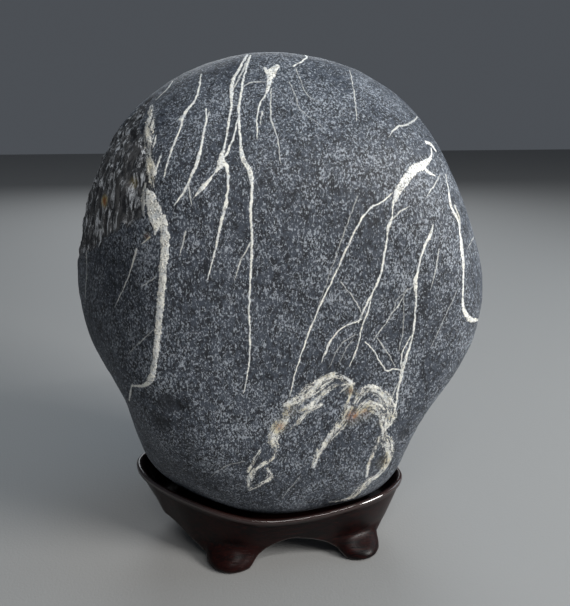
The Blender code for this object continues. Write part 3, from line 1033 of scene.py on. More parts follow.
@dataclass
class Weathering:
    """A Geometry Nodes tree that wears a smooth stone: swells, pits and a torn patch.

    A depth is in metres, and a lump is its size in metres, its finer layers and how it is
    drawn out along each axis.
    """

    swell: tuple = (0.030, 2.0, (1.0, 1.0, 1.0))
    swell_depth: float = 0.0018
    dimple: tuple = (0.0075, 3.0, (1.0, 1.0, 1.0))
    dimple_depth: float = 0.00064
    tear: tuple = (0.0030, 4.0, (1.0, 1.0, 0.28))
    tear_depth: float = 0.0019
    tear_sink: float = 0.18     # of a tear's height that the whole patch lies lower
    vein_height: float = 0.00022
    seed: float = 3.0

    def build(self, material: bpy.types.Material) -> GeometryGraph:
        """Build the tree.

        Args:
            material: the stone's finish.

        Returns:
            The tree.
        """
        graph = GeometryGraph("weathering", {
            "Swell depth": self.swell_depth, "Dimple depth": self.dimple_depth,
            "Tear depth": self.tear_depth, "Vein height": self.vein_height})
        given = graph.given
        place = graph.add("GeometryNodeInputPosition")["Position"]
        torn = graph.number("torn")
        height = self._lumps(graph, place, self.swell) * given["Swell depth"]
        dimples = self._lumps(graph, place, self.dimple) * given["Dimple depth"]
        height = height + dimples * (1.0 - torn * 0.5)
        tear = self._lumps(graph, place, self.tear) - self.tear_sink
        height = height + tear * torn * given["Tear depth"] * 2.0
        height = height + graph.number("proud") * given["Vein height"]
        normal = graph.add("GeometryNodeInputNormal")["Normal"]
        sockets = {"Vector": normal, "Scale": height}
        offset = graph.add("ShaderNodeVectorMath", {"operation": "SCALE"}, sockets)["Vector"]
        sockets = {"Geometry": given["Geometry"], "Offset": offset}
        moved = graph.add("GeometryNodeSetPosition", None, sockets)["Geometry"]
        graph.finish(moved, material)
        return graph

    def _lumps(self, graph: GeometryGraph, place: Wire, lump: tuple) -> Wire:
        """Noise centred on 0 whose lumps are about one size.

        Args:
            graph: the tree being built.
            place: where the noise is read.
            lump: the lumps' size, finer layers and stretch.

        Returns:
            The noise.
        """
        size, detail, stretch = lump
        factors = {0: place, 1: tuple(share / size for share in stretch)}
        moved = graph.add("ShaderNodeVectorMath", {"operation": "MULTIPLY"}, factors)["Vector"]
        sockets = {"Vector": moved, "W": self.seed, "Scale": 1.0, "Detail": detail}
        return graph.add("ShaderNodeTexNoise", {"noise_dimensions": "4D"}, sockets)["Fac"] - 0.5


def link(name: str, mesh: bpy.types.Mesh) -> bpy.types.Object:
    """Put a mesh in the scene.

    Args:
        name: the new object's name.
        mesh: the mesh.

    Returns:
        The object.
    """
    piece = bpy.data.objects.new(name, mesh)
    bpy.context.scene.collection.objects.link(piece)
    return piece


def coordinates(mesh: bpy.types.Mesh) -> np.ndarray:
    """Where a mesh's vertices are.

    Args:
        mesh: the mesh.

    Returns:
        One row for each vertex.
    """
    flat = np.empty(len(mesh.vertices) * 3)
    mesh.vertices.foreach_get("co", flat)
    return flat.reshape(-1, 3)


def smooth(share: np.ndarray) -> np.ndarray:
    """A share from 0 to 1 eased at both ends."""
    return share * share * (3.0 - 2.0 * share)


def keep(mesh: bpy.types.Mesh, name: str, values: np.ndarray) -> None:
    """Keep a number, or three, at each vertex.

    Args:
        mesh: the mesh.
        name: the attribute's name.
        values: one number, or one row of three, for each vertex.
    """
    kind = "FLOAT" if values.ndim == 1 else "FLOAT_VECTOR"
    slot = "value" if values.ndim == 1 else "vector"
    attribute = mesh.attributes.new(name, kind, "POINT")
    attribute.data.foreach_set(slot, np.ascontiguousarray(values, np.float32).ravel())


def forget(mesh: bpy.types.Mesh, starts: tuple) -> None:
    """Drop the attributes whose names start in one of these ways."""
    for name in [a.name for a in mesh.attributes if a.name.startswith(starts)]:
        mesh.attributes.remove(mesh.attributes[name])


def directions(points: np.ndarray, heart: Vector) -> np.ndarray:
    """Where points are seen from the heart.

    Args:
        points: one row for each point.
        heart: the point they are seen from.

    Returns:
        Their bearings and pitches in degrees, one row for each point.
    """
    away = points - np.array(heart)
    bearing = np.degrees(np.arctan2(away[:, 0], -away[:, 1]))
    pitch = np.degrees(np.arctan2(away[:, 2], np.hypot(away[:, 0], away[:, 1])))
    return np.stack((bearing, pitch), 1)


class Patch:
    """The rough patch: a closed outline round the stone, in degrees from its heart."""

    scale: float = 1.7          # millimetres to a degree

    def __init__(self, skin: Skin) -> None:
        """Lay the outline on the skin.

        Args:
            skin: the stone's surface.
        """
        self.heart = skin.heart
        seen = np.array([skin.at_pixel(*pixel)[0] for pixel in PATCH_FRONT])
        front = directions(seen, self.heart)
        self.outline = np.vstack((front, np.array(PATCH_BACK, float)))

    def inside(self, points: np.ndarray) -> np.ndarray:
        """How far points lie inside the outline.

        Args:
            points: one row for each point, in metres.

        Returns:
            Millimetres to the outline's nearest side; outside it is negative.
        """
        seen = directions(points, self.heart)
        nearest = np.full(len(seen), np.inf)
        inside = np.zeros(len(seen), bool)
        for a, b in zip(self.outline, np.roll(self.outline, -1, 0)):
            run = b - a
            share = np.clip((seen - a) @ run / (run @ run), 0.0, 1.0)
            nearest = np.minimum(nearest, np.linalg.norm(seen - a - share[:, None] * run, axis=1))
            crosses = (a[1] > seen[:, 1]) != (b[1] > seen[:, 1])
            with np.errstate(divide="ignore", invalid="ignore"):
                where = a[0] + (seen[:, 1] - a[1]) * run[0] / run[1]
            inside ^= crosses & (seen[:, 0] < where)
        return np.where(inside, nearest, -nearest) * self.scale


@dataclass
class Stone:
    """The veined stone."""

    viewpoint: Viewpoint
    finish: StoneFinish = field(default_factory=StoneFinish)
    weathering: Weathering = field(default_factory=Weathering)
    merge: float = 0.00002
    levels: int = 2             # subdivisions of the whole skin
    closeness: float = 1.6      # millimetres from a vein within which the skin is finer
    patch_rank: float = 0.5     # the patch's skin is made finer as if this near a vein
    patch_margin: float = 1.0   # millimetres round the patch that are finer too
    most_faces: int = 92000     # four-sided faces, two triangles each
    proudest: float = 1.0       # millimetres inside a vein where it stands at full height
    tear_width: float = 2.0     # millimetres over which the patch's torn edge sinks in

    def build(self) -> bpy.types.Object:
        """Make the stone's mesh, its veins and its finish.

        Returns:
            The stone.
        """
        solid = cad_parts["stone"]
        low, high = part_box("stone")
        skin = Skin(solid.data, (low + high) / 2, self.viewpoint)
        veins, bands = VeinField(skin, VEINS), VeinField(skin, BANDS)
        log.info("vein layers %d, band layers %d", len(veins.layers), len(bands.layers))

        patch = Patch(skin)
        mesh = self._smooth(solid)
        self._refine(mesh, veins, bands, patch)
        self._mark(mesh, veins, bands, patch, skin)
        material = self.finish.build(len(veins.layers), len(bands.layers))
        rough = link("stone_rough", mesh)
        worn = self.weathering.build(material).baked(rough, "veined_stone")
        bpy.data.objects.remove(rough)
        worn.shade_smooth()
        stone = link("veined_stone", worn)
        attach(stone, BODY)
        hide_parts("stone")
        log.info("veined_stone: %d triangles", triangles(worn))
        return stone

    def _smooth(self, solid: bpy.types.Object) -> bpy.types.Mesh:
        """Make a merged, subdivided copy of the stone's solid.

        Args:
            solid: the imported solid, which is left as it is.

        Returns:
            The copy.
        """
        copy = solid.data.copy()
        shape = bmesh.new()
        shape.from_mesh(copy)
        bmesh.ops.remove_doubles(shape, verts=shape.verts, dist=self.merge)
        shape.to_mesh(copy)
        shape.free()
        copy.materials.clear()
        holder = link("stone_copy", copy)
        subdivision = holder.modifiers.new("smooth", "SUBSURF")
        subdivision.levels = self.levels
        subdivision.render_levels = self.levels
        depsgraph = bpy.context.evaluated_depsgraph_get()
        mesh = bpy.data.meshes.new_from_object(holder.evaluated_get(depsgraph), depsgraph=depsgraph)
        bpy.data.objects.remove(holder)
        forget(mesh, ("UVMap", "custom_normal"))
        return mesh

    def _refine(self, mesh: bpy.types.Mesh, veins: VeinField, bands: VeinField, patch: Patch) -> None:
        """Split the faces that lie near a vein, nearest first, up to a limit.

        Args:
            mesh: the smooth skin.
            veins: the veins.
            bands: the stranded bands.
            patch: the rough patch.
        """
        points = coordinates(mesh)
        gap = np.full(len(points), FAR)
        for layer in veins.layers + bands.layers:
            found, _ = veins.measure(points, layer)
            gap = np.minimum(gap, found[:, 1] - found[:, 2])
        gap = np.where(patch.inside(points) > -self.patch_margin, np.minimum(gap, self.patch_rank), gap)
        shape = bmesh.new()
        shape.from_mesh(mesh)
        faces = [(min(gap[v.index] for v in face.verts), face) for face in shape.faces]
        close = sorted((pair for pair in faces if pair[0] < self.closeness), key=lambda p: p[0])
        room = (self.most_faces - len(shape.faces)) // 3
        chosen = {edge for _, face in close[:room] for edge in face.edges}
        log.info("faces near veins %d, room for %d", len(close), room)
        bmesh.ops.subdivide_edges(shape, edges=sorted(chosen, key=lambda e: e.index),
                                  cuts=1, use_grid_fill=True)
        shape.to_mesh(mesh)
        shape.free()

    def _mark(self, mesh: bpy.types.Mesh, veins: VeinField, bands: VeinField, patch: Patch,
              skin: Skin) -> None:
        """Keep at each vertex what the finish and the weathering need to know.

        Args:
            mesh: the refined skin.
            veins: the veins.
            bands: the stranded bands.
            patch: the rough patch.
            skin: what dents and stains are placed on.
        """
        points = coordinates(mesh)
        proud = np.zeros(len(points))
        for i, layer in enumerate(veins.layers):
            found, strength = veins.measure(points, layer)
            keep(mesh, f"vein_{i}", found[:, :3])
            keep(mesh, f"strength_{i}", strength)
            proud = np.maximum(proud, np.clip(found[:, 2] - found[:, 1], 0.0, self.proudest))
        for i, layer in enumerate(bands.layers):
            found, _ = bands.measure(points, layer)
            keep(mesh, f"band_{i}", found[:, :3])
            keep(mesh, f"band_run_{i}", found[:, 3])
            proud = np.maximum(proud, np.clip(found[:, 2] - found[:, 1], 0.0, self.proudest))
        inside = patch.inside(points)
        keep(mesh, "patch", np.clip(inside, -FAR, FAR))
        keep(mesh, "torn", np.clip(inside / self.tear_width + 0.5, 0.0, 1.0))
        shadow, stain = np.zeros(len(points)), np.zeros(len(points))
        for dent in DENTS:
            hollow = dent.fading(points, skin)
            proud -= hollow * dent.strength * MM / self.weathering.vein_height
            shadow = np.maximum(shadow, hollow * min(dent.strength, 1.0))
        for spot in STAINS:
            stain = np.maximum(stain, spot.strength * spot.fading(points, skin))
        keep(mesh, "proud", proud)
        keep(mesh, "shadow", shadow)
        keep(mesh, "stain", stain)


def triangles(mesh: bpy.types.Mesh) -> int:
    """How many triangles a mesh has."""
    return sum(len(face.vertices) - 2 for face in mesh.polygons)


# ------------------------------------------------------------------ grains
@dataclass(frozen=True)
class GrainFinish:
    """Sugary white mineral; its grains and edge are written as the stone's are."""

    colour: tuple = (0.700, 0.675, 0.610)
    shadow: tuple = (0.400, 0.390, 0.360)
    cloud_grain: tuple = (0.9, 2.0)
    cloud_edge: tuple = (0.35, 0.65)
    sugar_grain: tuple = (5.0,)
    sugar_depth: float = 0.00004
    roughness: float = 0.34
    roughness_spread: float = 0.2

    def build(self) -> bpy.types.Material:
        """Make the material.

        Returns:
            The finished material.
        """
        paint = Paint("quartz_grain")
        graph = paint.graph
        cloud = graph.noise(paint.place, *self.cloud_grain)
        colour = graph.blend(graph.step(cloud, *self.cloud_edge), self.shadow, self.colour)
        sockets = {"Base Color": colour, "Roughness": self.roughness + cloud * self.roughness_spread}
        return paint.finish(sockets, graph.noise(paint.place, *self.sugar_grain), self.sugar_depth)


@dataclass
class QuartzGrains:
    """Small crystals standing on the broad veins, strewn by a Geometry Nodes tree."""

    finish: GrainFinish = field(default_factory=GrainFinish)
    smallest: float = 0.00016
    largest: float = 0.00040
    density: float = 900000.0   # a square metre, where a broad vein lies
    threshold: float = 0.45     # how far inside a vein a grain has to be
    seed: int = 11

    def build(self, stone: bpy.types.Object) -> bpy.types.Object:
        """Strew the grains over the stone.

        Args:
            stone: the finished stone.

        Returns:
            The grains as one piece.
        """
        mesh = self._tree(self.finish.build()).baked(stone, "quartz_grains")
        forget(mesh, ("vein", "band", "strength"))
        grains = link("quartz_grains", mesh)
        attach(grains, BODY)
        log.info("quartz_grains: %d triangles", triangles(mesh))
        return grains

    def _tree(self, material: bpy.types.Material) -> GeometryGraph:
        """Build the tree that strews the grains.

        Args:
            material: the grains' finish.

        Returns:
            The tree.
        """
        graph = GeometryGraph("grain_strewing", {
            "Density": self.density, "Smallest": self.smallest, "Largest": self.largest})
        given = graph.given
        share = graph.step(graph.number("proud"), self.threshold, 1.0)
        sockets = {"Mesh": given["Geometry"], "Density": share * given["Density"], "Seed": self.seed}
        points = graph.add("GeometryNodeDistributePointsOnFaces", None, sockets)["Points"]
        grain = graph.add("GeometryNodeMeshIcoSphere", None, {"Radius": 1.0, "Subdivisions": 1})["Mesh"]
        size = graph.add("FunctionNodeRandomValue", {"data_type": "FLOAT"}, {
            "Min_001": given["Smallest"], "Max_001": given["Largest"], "Seed": self.seed + 1})
        turn = graph.add("FunctionNodeRandomValue", {"data_type": "FLOAT_VECTOR"}, {
            "Min": (0.0, 0.0, 0.0), "Max": (math.tau,) * 3, "Seed": self.seed + 2})
        placed = graph.add("GeometryNodeInstanceOnPoints", None, {
            "Points": points, "Instance": grain, "Rotation": turn["Value"],
            "Scale": size["Value_001"]})["Instances"]
        graph.finish(placed, material)
        return graph


# ------------------------------------------------------------------ the stand
@dataclass(frozen=True)
class RosewoodFinish:
    """Dark reddish-brown hardwood, rubbed to a gloss; written as the stone's finish is."""

    heart: tuple = (0.0120, 0.0030, 0.0026)
    dark: tuple = (0.0034, 0.0018, 0.0019)
    red: tuple = (0.0300, 0.0062, 0.0045)
    # rubbed wear on the edges; on the lip's crest this lighter colour is also a painted highlight
    worn: tuple = (0.0500, 0.0280, 0.0240)
    board_draw: tuple = (0.05, 0.7, 0.7)    # stretch along, across and up the grain
    wander_draw: tuple = (0.02, 0.09, 0.09)
    pore_draw: tuple = (0.22, 2.4, 2.4)
    wander_grain: tuple = (1.0, 2.0)
    band_grain: tuple = (0.55, 3.0, 0.6)
    line_grain: tuple = (2.2, 3.0, 0.6)
    pore_grain: tuple = (1.0, 2.0)
    band_edge: tuple = (0.36, 0.62)
    line_edge: tuple = (0.50, 0.72)
    pore_edge: tuple = (0.60, 0.72)
    red_cover: float = 0.7
    wear_and_highlight_cover: float = 0.6
    pore_cover: float = 0.6
    gloss: float = 0.13
    wax: float = 1.9            # refractive index of the gloss on rubbed edges
    wax_roughness: float = 0.05
    turn: float = -11.3         # degrees that the grain is turned from +X
    pore_depth: float = 0.00005

    def build(self) -> bpy.types.Material:
        """Make the material.

        Returns:
            The finished material.
        """
        paint = Paint("rosewood")
        graph = paint.graph
        board, wandering, porous = (
            graph.scaled(paint.place, draw, (0.0, 0.0, -math.radians(self.turn)))
            for draw in (self.board_draw, self.wander_draw, self.pore_draw))
        wander = graph.noise(wandering, *self.wander_grain)
        band = graph.noise(board, *self.band_grain) + (wander - 0.5) * 0.4
        line = graph.noise(board, *self.line_grain)
        pit = graph.step(graph.noise(porous, *self.pore_grain), *self.pore_edge)
        edge = paint.number("edge")
        colour = graph.blend(graph.step(band, *self.band_edge), self.dark, self.heart)
        colour = graph.blend(graph.step(line, *self.line_edge) * self.red_cover, colour, self.red)
        # rubbed edges lighten, and the lip's crest gets a painted highlight line
        colour = graph.blend(edge * self.wear_and_highlight_cover, colour, self.worn)
        colour = graph.blend(pit * self.pore_cover, colour, self.dark)
        rough = 0.27 + line * 0.12 + pit * 0.20 - edge * 0.14
        sockets = {"Base Color": colour, "Roughness": rough, "Coat Weight": edge * 0.98,
                   "Coat Roughness": self.wax_roughness, "Coat IOR": self.wax,
                   "Specular IOR Level": self.gloss}
        return paint.finish(sockets, 1.0 - pit, self.pore_depth)


@dataclass(frozen=True)
class Flank:
    """How the wall's lower edge climbs from a foot into the arch beside it."""

    height: float           # of the arch's top
    spring: float           # distance along the rim from the foot to that top
    bow: float = 0.75       # 0.5 is an ellipse, higher rises later


@dataclass(frozen=True)
class Foot:
    """A bracket foot: where it stands, its toe's flare and what lies either side."""

    bearing: float          # degrees from +X, anticlockwise from above
    flare: float
    clockwise: Flank
    anticlockwise: Flank


FEET = (
    Foot(-125.5, 0.0102, Flank(0.0175, 0.0385, 0.85), Flank(0.0158, 0.0230)),
    Foot(-36.8, 0.0125, Flank(0.0158, 0.0310), Flank(0.0175, 0.0330)),
    Foot(38.0, 0.0115, Flank(0.0175, 0.0330), Flank(0.0160, 0.0240)),
    Foot(130.0, 0.0115, Flank(0.0160, 0.0240), Flank(0.0175, 0.0370)),
)

# How far inside the rim the wall would reach the floor, by bearing from +X.
WALL_INSETS = (
    (-180, 0.0165), (-168, 0.0100), (-150, 0.0052), (-125, 0.0056), (-100, 0.0080),
    (-75, 0.0105), (-50, 0.0100), (-25, 0.0105), (0, 0.0130), (35, 0.0110),
    (80, 0.0105), (130, 0.0110), (160, 0.0150), (180, 0.0165),
)


@dataclass(frozen=True)
class Rim:
    """The stand's rim from above: a turned oval that rises at its two ends."""

    centre: tuple = (-0.00665, -0.00545)
    half_length: float = 0.0703
    half_depth: float = 0.0385
    turn: float = math.radians(-11.3)
    squareness: float = 1.85
    height: float = 0.0290
    lift_left: float = 0.0090
    lift_right: float = 0.0051
    samples: int = 2881
    nudge: float = 0.001        # radians either way between which the rim's run is read

    def places(self, turn: np.ndarray) -> np.ndarray:
        """Points of the rim, seen from its centre.

        Args:
            turn: angles from +X.

        Returns:
            One row of X and Y for each angle.
        """
        along = np.abs(np.cos(turn - self.turn) / self.half_length) ** self.squareness
        across = np.abs(np.sin(turn - self.turn) / self.half_depth) ** self.squareness
        radius = (along + across) ** (-1.0 / self.squareness)
        return np.stack((np.cos(turn), np.sin(turn)), 1) * radius[:, None]

    def outward(self, turn: np.ndarray) -> np.ndarray:
        """Unit vectors square to the rim, looking out.

        Args:
            turn: angles from +X.

        Returns:
            One row of X and Y for each angle.
        """
        ahead = self.places(turn + self.nudge) - self.places(turn - self.nudge)
        square = np.stack((ahead[:, 1], -ahead[:, 0]), 1)
        return square / np.linalg.norm(square, axis=1)[:, None]

    def crest(self, turn: np.ndarray) -> np.ndarray:
        """Height of the rim's crest at angles from +X."""
        along = np.cos(turn - self.turn)
        return self.height + np.where(along < 0.0, self.lift_left, self.lift_right) * along ** 2

    def travel(self) -> tuple[np.ndarray, np.ndarray]:
        """Measure the rim's length as it goes round.

        Returns:
            Angles round the rim, and the distance travelled along it at each.
        """
        turns = np.linspace(-np.pi, np.pi, self.samples)
        steps = np.linalg.norm(np.diff(self.places(turns), axis=0), axis=1)
        return turns, np.concatenate(([0.0], np.cumsum(steps)))


@dataclass
class Stand:
    """The carved stand: a flared rim on four bracket feet with rounded toes."""

    finish: RosewoodFinish = field(default_factory=RosewoodFinish)
    rim: Rim = field(default_factory=Rim)
    feet: tuple = FEET
    tray_depth: float = 0.0070
    tray_inset: float = 0.0120  # from the rim to the tray's flat
    underside: float = 0.0150
    # The slope from the tray to the rim: distance inside it, share of the climb still left.
    slope: tuple = ((0.0100, 0.93), (0.0080, 0.74), (0.0060, 0.48), (0.0044, 0.24),
                    (0.0032, 0.09), (0.0022, 0.015))
    # The rounded lip: distance inside the rim, drop from its crest, how worn; on the crest that wear
    # also paints a lighter highlight line.
    lip: tuple = ((0.0014, 0.0, 0.4), (0.0007, 0.0002, 1.0), (0.0002, 0.0008, 1.0),
                  (0.0001, 0.0016, 0.5), (0.0004, 0.0028, 0.0))
    # The hollow beneath: distance in from the wall's back, share of the rise to the underside.
    hollow: tuple = ((0.0, 0.08), (0.0006, 0.45), (0.0015, 0.80), (0.0030, 1.0))
    hollow_rings: tuple = (0.30, 0.15)      # shares of the rim's radius
    lip_inset: float = 0.0004   # from the rim to the wall's top
    taper_curve: float = 1.1
    edge_round: float = 0.0010
    edge_wear: float = 0.8
    sole_wear: float = 0.3
    foot_half_width: float = 0.0095
    foot_thickness: float = 0.0110
    thinning: float = 0.7       # share of that thickness the wall has lost at full height
    thinned_at: float = 0.0160
    heel_curve: float = 0.0020  # how gently the lower edge leaves the floor
    toe_reach: float = 0.0135   # half the width of a toe's swell near the floor
    toe_neck: float = 1.00      # width of the swell higher up, as a share of that
    toe_flatness: float = 0.6   # lower makes a toe broader and flatter across
    toe_full: float = 0.0018    # height below which a toe stands out by its full flare
    toe_top: float = 0.0118
    toe_roll: float = 0.0024    # height of a toe's rounded under-edge
    toe_tuck: float = 0.8
    columns: int = 420
    wall_rows: int = 30
    tray_rows: int = 16
    seat_gap: float = 0.0004
    look_from: float = -0.01    # height from which the seat looks up at the stone
    seated_lip: int = 4         # rows of the lip, from inside, that the seat may lower

    def _offset(self, turn: np.ndarray) -> tuple[np.ndarray, np.ndarray]:
        """Measure along the rim to the nearest foot.

        Args:
            turn: the columns' angles.

        Returns:
            The distance, more than 0 anticlockwise of the foot, and the foot's index.
        """
        turns, travel = self.rim.travel()
        feet = np.interp(np.radians([foot.bearing for foot in self.feet]), turns, travel)
        apart = np.interp(turn, turns, travel)[:, None] - feet[None]
        apart = (apart + travel[-1] / 2) % travel[-1] - travel[-1] / 2
        nearest = np.abs(apart).argmin(1)
        return apart[np.arange(len(turn)), nearest], nearest

    def _low(self, offset: np.ndarray, nearest: np.ndarray) -> np.ndarray:
        """Height of the wall's lower edge: the floor at a foot, the arch between feet.

        Args:
            offset: each column's distance from its nearest foot, with its sign.
            nearest: that foot's index.

        Returns:
            A height for each column.
        """
        flanks = [self.feet[foot].anticlockwise if along > 0.0 else self.feet[foot].clockwise
                  for along, foot in zip(offset, nearest)]
        height, spring, bow = np.array([(f.height, f.spring, f.bow) for f in flanks]).T
        beyond = np.maximum(np.abs(offset) - self.foot_half_width, 0.0)
        eased = beyond * beyond / (beyond + self.heel_curve)
        left = 1.0 - np.minimum(eased / spring, 1.0)
        return height * (1.0 - left * left) ** bow

    def _at_floor(self, turn: np.ndarray) -> np.ndarray:
        """How far inside the rim the wall would reach the floor.

        Args:
            turn: the columns' angles.

        Returns:
            A distance for each column.
        """
        keys, insets = np.array(WALL_INSETS).T
        bearing = np.degrees(turn)
        start = np.clip(np.searchsorted(keys, bearing, side="right") - 1, 0, len(keys) - 2)
        share = smooth((bearing - keys[start]) / (keys[start + 1] - keys[start]))
        return insets[start] + (insets[start + 1] - insets[start]) * share

    def _wall(self, turn: np.ndarray, offset: np.ndarray, nearest: np.ndarray,
              height: np.ndarray) -> np.ndarray:
        """How far the outer wall lies inside the rim; less than 0 is outside.

        Args:
            turn: the columns' angles.
            offset: each column's distance from its nearest foot, with its sign.
            nearest: that foot's index.
            height: the height to look at in each column.

        Returns:
            A distance for each column.
        """
        drop = np.maximum(1.0 - height / self.rim.crest(turn), 0.0)
        low = np.maximum(1.0 - (offset / self.toe_reach) ** 2, 0.0) ** self.toe_flatness
        neck = np.exp(-((offset / (self.toe_reach * self.toe_neck)) ** 2))
        climbed = np.clip(height / self.toe_top, 0.0, 1.0)
        share = np.clip((height - self.toe_full) / (self.toe_top - self.toe_full), 0.0, 1.0)
        swell = (low * (1.0 - climbed) + neck * climbed) * (1.0 - smooth(share))
        flare = np.array([foot.flare for foot in self.feet])[nearest]
        under = np.clip(1.0 - height / self.toe_roll, 0.0, 1.0)
        tucked = self.toe_tuck * self.toe_roll * (1.0 - np.sqrt(1.0 - under * under))
        taper = self._at_floor(turn) * drop ** self.taper_curve
        return self.lip_inset + taper + tucked - flare * swell

    def _rows(self, turn: np.ndarray) -> list[tuple]:
        """The profile's rows from the tray's middle to the underside's.

        Args:
            turn: the columns' angles.

        Returns:
            For each row: share of the rim's radius, distance inside it, height and how
            worn its edge is; on the lip's crest that wear also paints a highlight.
        """
        crest = self.rim.crest(turn)
        offset, nearest = self._offset(turn)
        low = self._low(offset, nearest)
        tray = np.full_like(turn, self.rim.height - self.tray_depth)
        rows = [(share, self.tray_inset * share, tray, 0.0)
                for share in np.linspace(0.0, 1.0, self.tray_rows)[1:]]
        rows += [(1.0, inside, crest - (crest - tray) * left, 0.0) for inside, left in self.slope]
        rows += [(1.0, inside, crest - drop, worn) for inside, drop, worn in self.lip]

        top, bottom = crest - self.lip[-1][1], low + self.edge_round * 0.3
        for row in range(1, self.wall_rows + 1):
            height = top + (bottom - top) * row / self.wall_rows
            worn = self.edge_wear if row == self.wall_rows else 0.0
            rows.append((1.0, self._wall(turn, offset, nearest, height), height, worn))
        edge = self._wall(turn, offset, nearest, bottom)
        thinned = 1.0 - self.thinning * np.minimum(low / self.thinned_at, 1.0)
        back = edge + self.foot_thickness * thinned
        rows.append((1.0, edge + self.edge_round * 0.5, low, self.sole_wear))
        rows.append((1.0, (edge + back) / 2, low, 0.0))
        rows.append((1.0, back - self.edge_round * 0.5, low, 0.0))
        rise = self.underside - low
        rows += [(1.0, back + further, low + rise * share, 0.0) for further, share in self.hollow]
        under = np.full_like(turn, self.underside)
        rows += [(share, 0.0, under, 0.0) for share in self.hollow_rings]
        return rows

    def _mesh(self) -> bpy.types.Mesh:
        """Make the whole stand as rings of four-sided faces, closed at both middles.

        Returns:
            The mesh, with how worn its edges are kept at each vertex; on the lip's crest that wear also
            paints a highlight.
        """
        turns, travel = self.rim.travel()
        steps = np.linspace(0.0, travel[-1], self.columns, endpoint=False)
        turn = np.interp(steps, travel, turns)
        middle = np.array(self.rim.centre)
        rim, out = self.rim.places(turn), self.rim.outward(turn)
        places = [np.array([(*middle, self.rim.height - self.tray_depth)])]
        worn = [np.zeros(1)]
        rows = self._rows(turn)
        for share, inside, height, edge in rows:
            depth = np.zeros(self.columns) + inside
            plan = middle + rim * share - out * depth[:, None]
            places.append(np.column_stack((plan, height)))
            worn.append(np.full(self.columns, edge))
        places.append(np.array([(*middle, self.underside)]))
        worn.append(np.zeros(1))

        def at(row: int, column: int) -> int:
            """Index of a vertex in a ring."""
            return 1 + row * self.columns + column % self.columns

        around, bottom = range(self.columns), len(rows) - 1
        faces = [(0, at(0, c), at(0, c + 1)) for c in around]
        faces += [(at(r, c), at(r + 1, c), at(r + 1, c + 1), at(r, c + 1))
                  for r in range(bottom) for c in around]
        faces += [(at(bottom, c), at(bottom + 1, 0), at(bottom, c + 1)) for c in around]
        mesh = bpy.data.meshes.new("rosewood_stand")
        mesh.from_pydata(np.vstack(places).tolist(), [], faces)
        keep(mesh, "edge", np.concatenate(worn))
        return mesh

    def _seat(self, mesh: bpy.types.Mesh, stone: bpy.types.Object) -> None:
        """Lower the tray and the lip wherever the stone would touch them.

        Args:
            mesh: the stand's mesh, changed in place.
            stone: the finished stone.
        """
        shape = bmesh.new()
        shape.from_mesh(stone.data)
        under = BVHTree.FromBMesh(shape)
        shape.free()
        upward = Vector((0.0, 0.0, 1.0))
        rows = self.tray_rows - 1 + len(self.slope) + self.seated_lip
        for vertex in mesh.vertices[:1 + self.columns * rows]:
            start = Vector((vertex.co.x, vertex.co.y, self.look_from))
            hit = under.ray_cast(start, upward)[0]
            if hit is not None:
                vertex.co.z = min(vertex.co.z, hit.z - self.seat_gap)

    def build(self, stone: bpy.types.Object) -> bpy.types.Object:
        """Make the stand.

        Args:
            stone: the finished stone, which the seat is kept clear of.

        Returns:
            The stand.
        """
        mesh = self._mesh()
        self._seat(mesh, stone)
        mesh.materials.append(self.finish.build())
        mesh.shade_smooth()
        stand = link("rosewood_stand", mesh)
        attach(stand, BODY)
        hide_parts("stand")
        log.info("rosewood_stand: %d triangles", triangles(mesh))
        return stand


# ------------------------------------------------------------------ the studio
@dataclass(frozen=True)
class Lamp:
    """A soft lamp that looks at the stone: square, or a long strip if it has a height.

    Its power is in watts and the rest in metres.
    """

    name: str
    place: tuple
    side: float
    power: float
    colour: tuple = (1.0, 1.0, 1.0)
    height: float | None = None


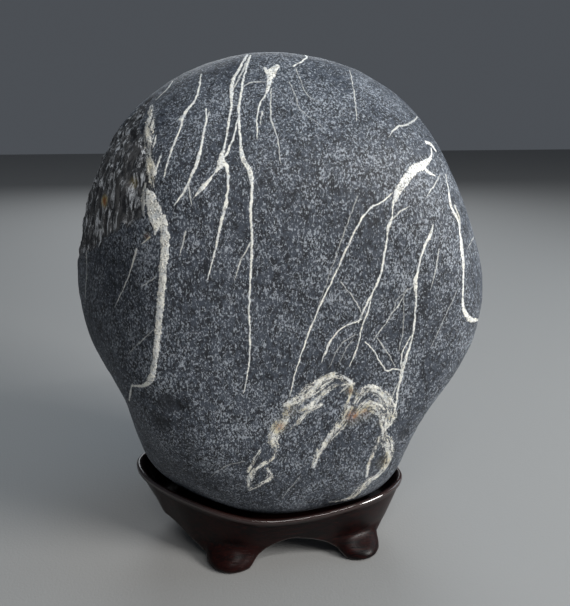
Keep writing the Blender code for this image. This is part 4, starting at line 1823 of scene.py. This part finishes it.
@dataclass
class Studio:
    """A plain pale floor and soft light."""

    viewpoint: Viewpoint
    floor_half: float = 3.0
    floor_colour: tuple = (0.30, 0.30, 0.295)
    floor_roughness: float = 0.75
    floor_grain: tuple = (0.8, 2.0)
    floor_depth: float = 0.0001
    sky_colour: tuple = (0.80, 0.88, 1.00)
    sky_strength: float = 0.09
    aim: tuple = (0.0, 0.0, 0.12)
    view: str = "Standard"
    lamps: tuple = (
        Lamp("key", (0.95, -0.66, 0.66), 0.45, 17.0, (1.0, 0.985, 0.96)),
        Lamp("top", (0.30, 0.02, 1.20), 0.60, 2.0, (0.55, 0.78, 1.0)),
        Lamp("strip", (0.14, -0.62, 0.98), 0.80, 3.2, (1.0, 0.99, 0.97), 0.06),
        Lamp("right", (0.95, 0.15, 0.45), 0.55, 1.3, (0.78, 0.90, 1.0)),
        Lamp("back", (0.05, 1.20, 0.80), 0.80, 7.0, (0.92, 0.96, 1.0)),
    )

    def build(self) -> None:
        """Make the floor, the lamps, the sky and the camera."""
        self.viewpoint.build()
        self._floor()
        for lamp in self.lamps:
            self._light(lamp)
        world = bpy.data.worlds.new("sky")
        world.use_nodes = True
        sky = world.node_tree.nodes["Background"]
        sky.inputs["Color"].default_value = (*self.sky_colour, 1.0)
        sky.inputs["Strength"].default_value = self.sky_strength
        bpy.context.scene.world = world
        bpy.context.scene.view_settings.view_transform = self.view

    def _floor(self) -> None:
        """Lay the floor at height 0."""
        half = self.floor_half
        corners = [(-half, -half, 0.0), (half, -half, 0.0), (half, half, 0.0), (-half, half, 0.0)]
        mesh = bpy.data.meshes.new("floor")
        mesh.from_pydata(corners, [], [(0, 1, 2, 3)])
        paint = Paint("floor")
        cloud = paint.graph.noise(paint.place, *self.floor_grain)
        sockets = {"Base Color": self.floor_colour, "Roughness": self.floor_roughness}
        mesh.materials.append(paint.finish(sockets, cloud, self.floor_depth))
        link("floor", mesh)

    def _light(self, lamp: Lamp) -> None:
        """Hang one lamp and aim it.

        Args:
            lamp: the lamp.
        """
        data = bpy.data.lights.new(lamp.name, "AREA")
        data.size = lamp.side
        if lamp.height is not None:
            data.shape = "RECTANGLE"
            data.size_y = lamp.height
        data.energy = lamp.power
        data.color = lamp.colour
        light = bpy.data.objects.new(lamp.name, data)
        light.location = lamp.place
        away = Vector(lamp.place) - Vector(self.aim)
        light.rotation_euler = away.to_track_quat("Z", "Y").to_euler()
        bpy.context.scene.collection.objects.link(light)


def main() -> None:
    """Build the studio, then each piece in order."""
    logging.basicConfig(level=logging.INFO, format="%(name)s: %(message)s")
    viewpoint = Viewpoint()
    Studio(viewpoint).build()
    stone = Stone(viewpoint).build()
    Stand().build(stone)
    QuartzGrains().build(stone)


if __name__ == "__main__":
    main()
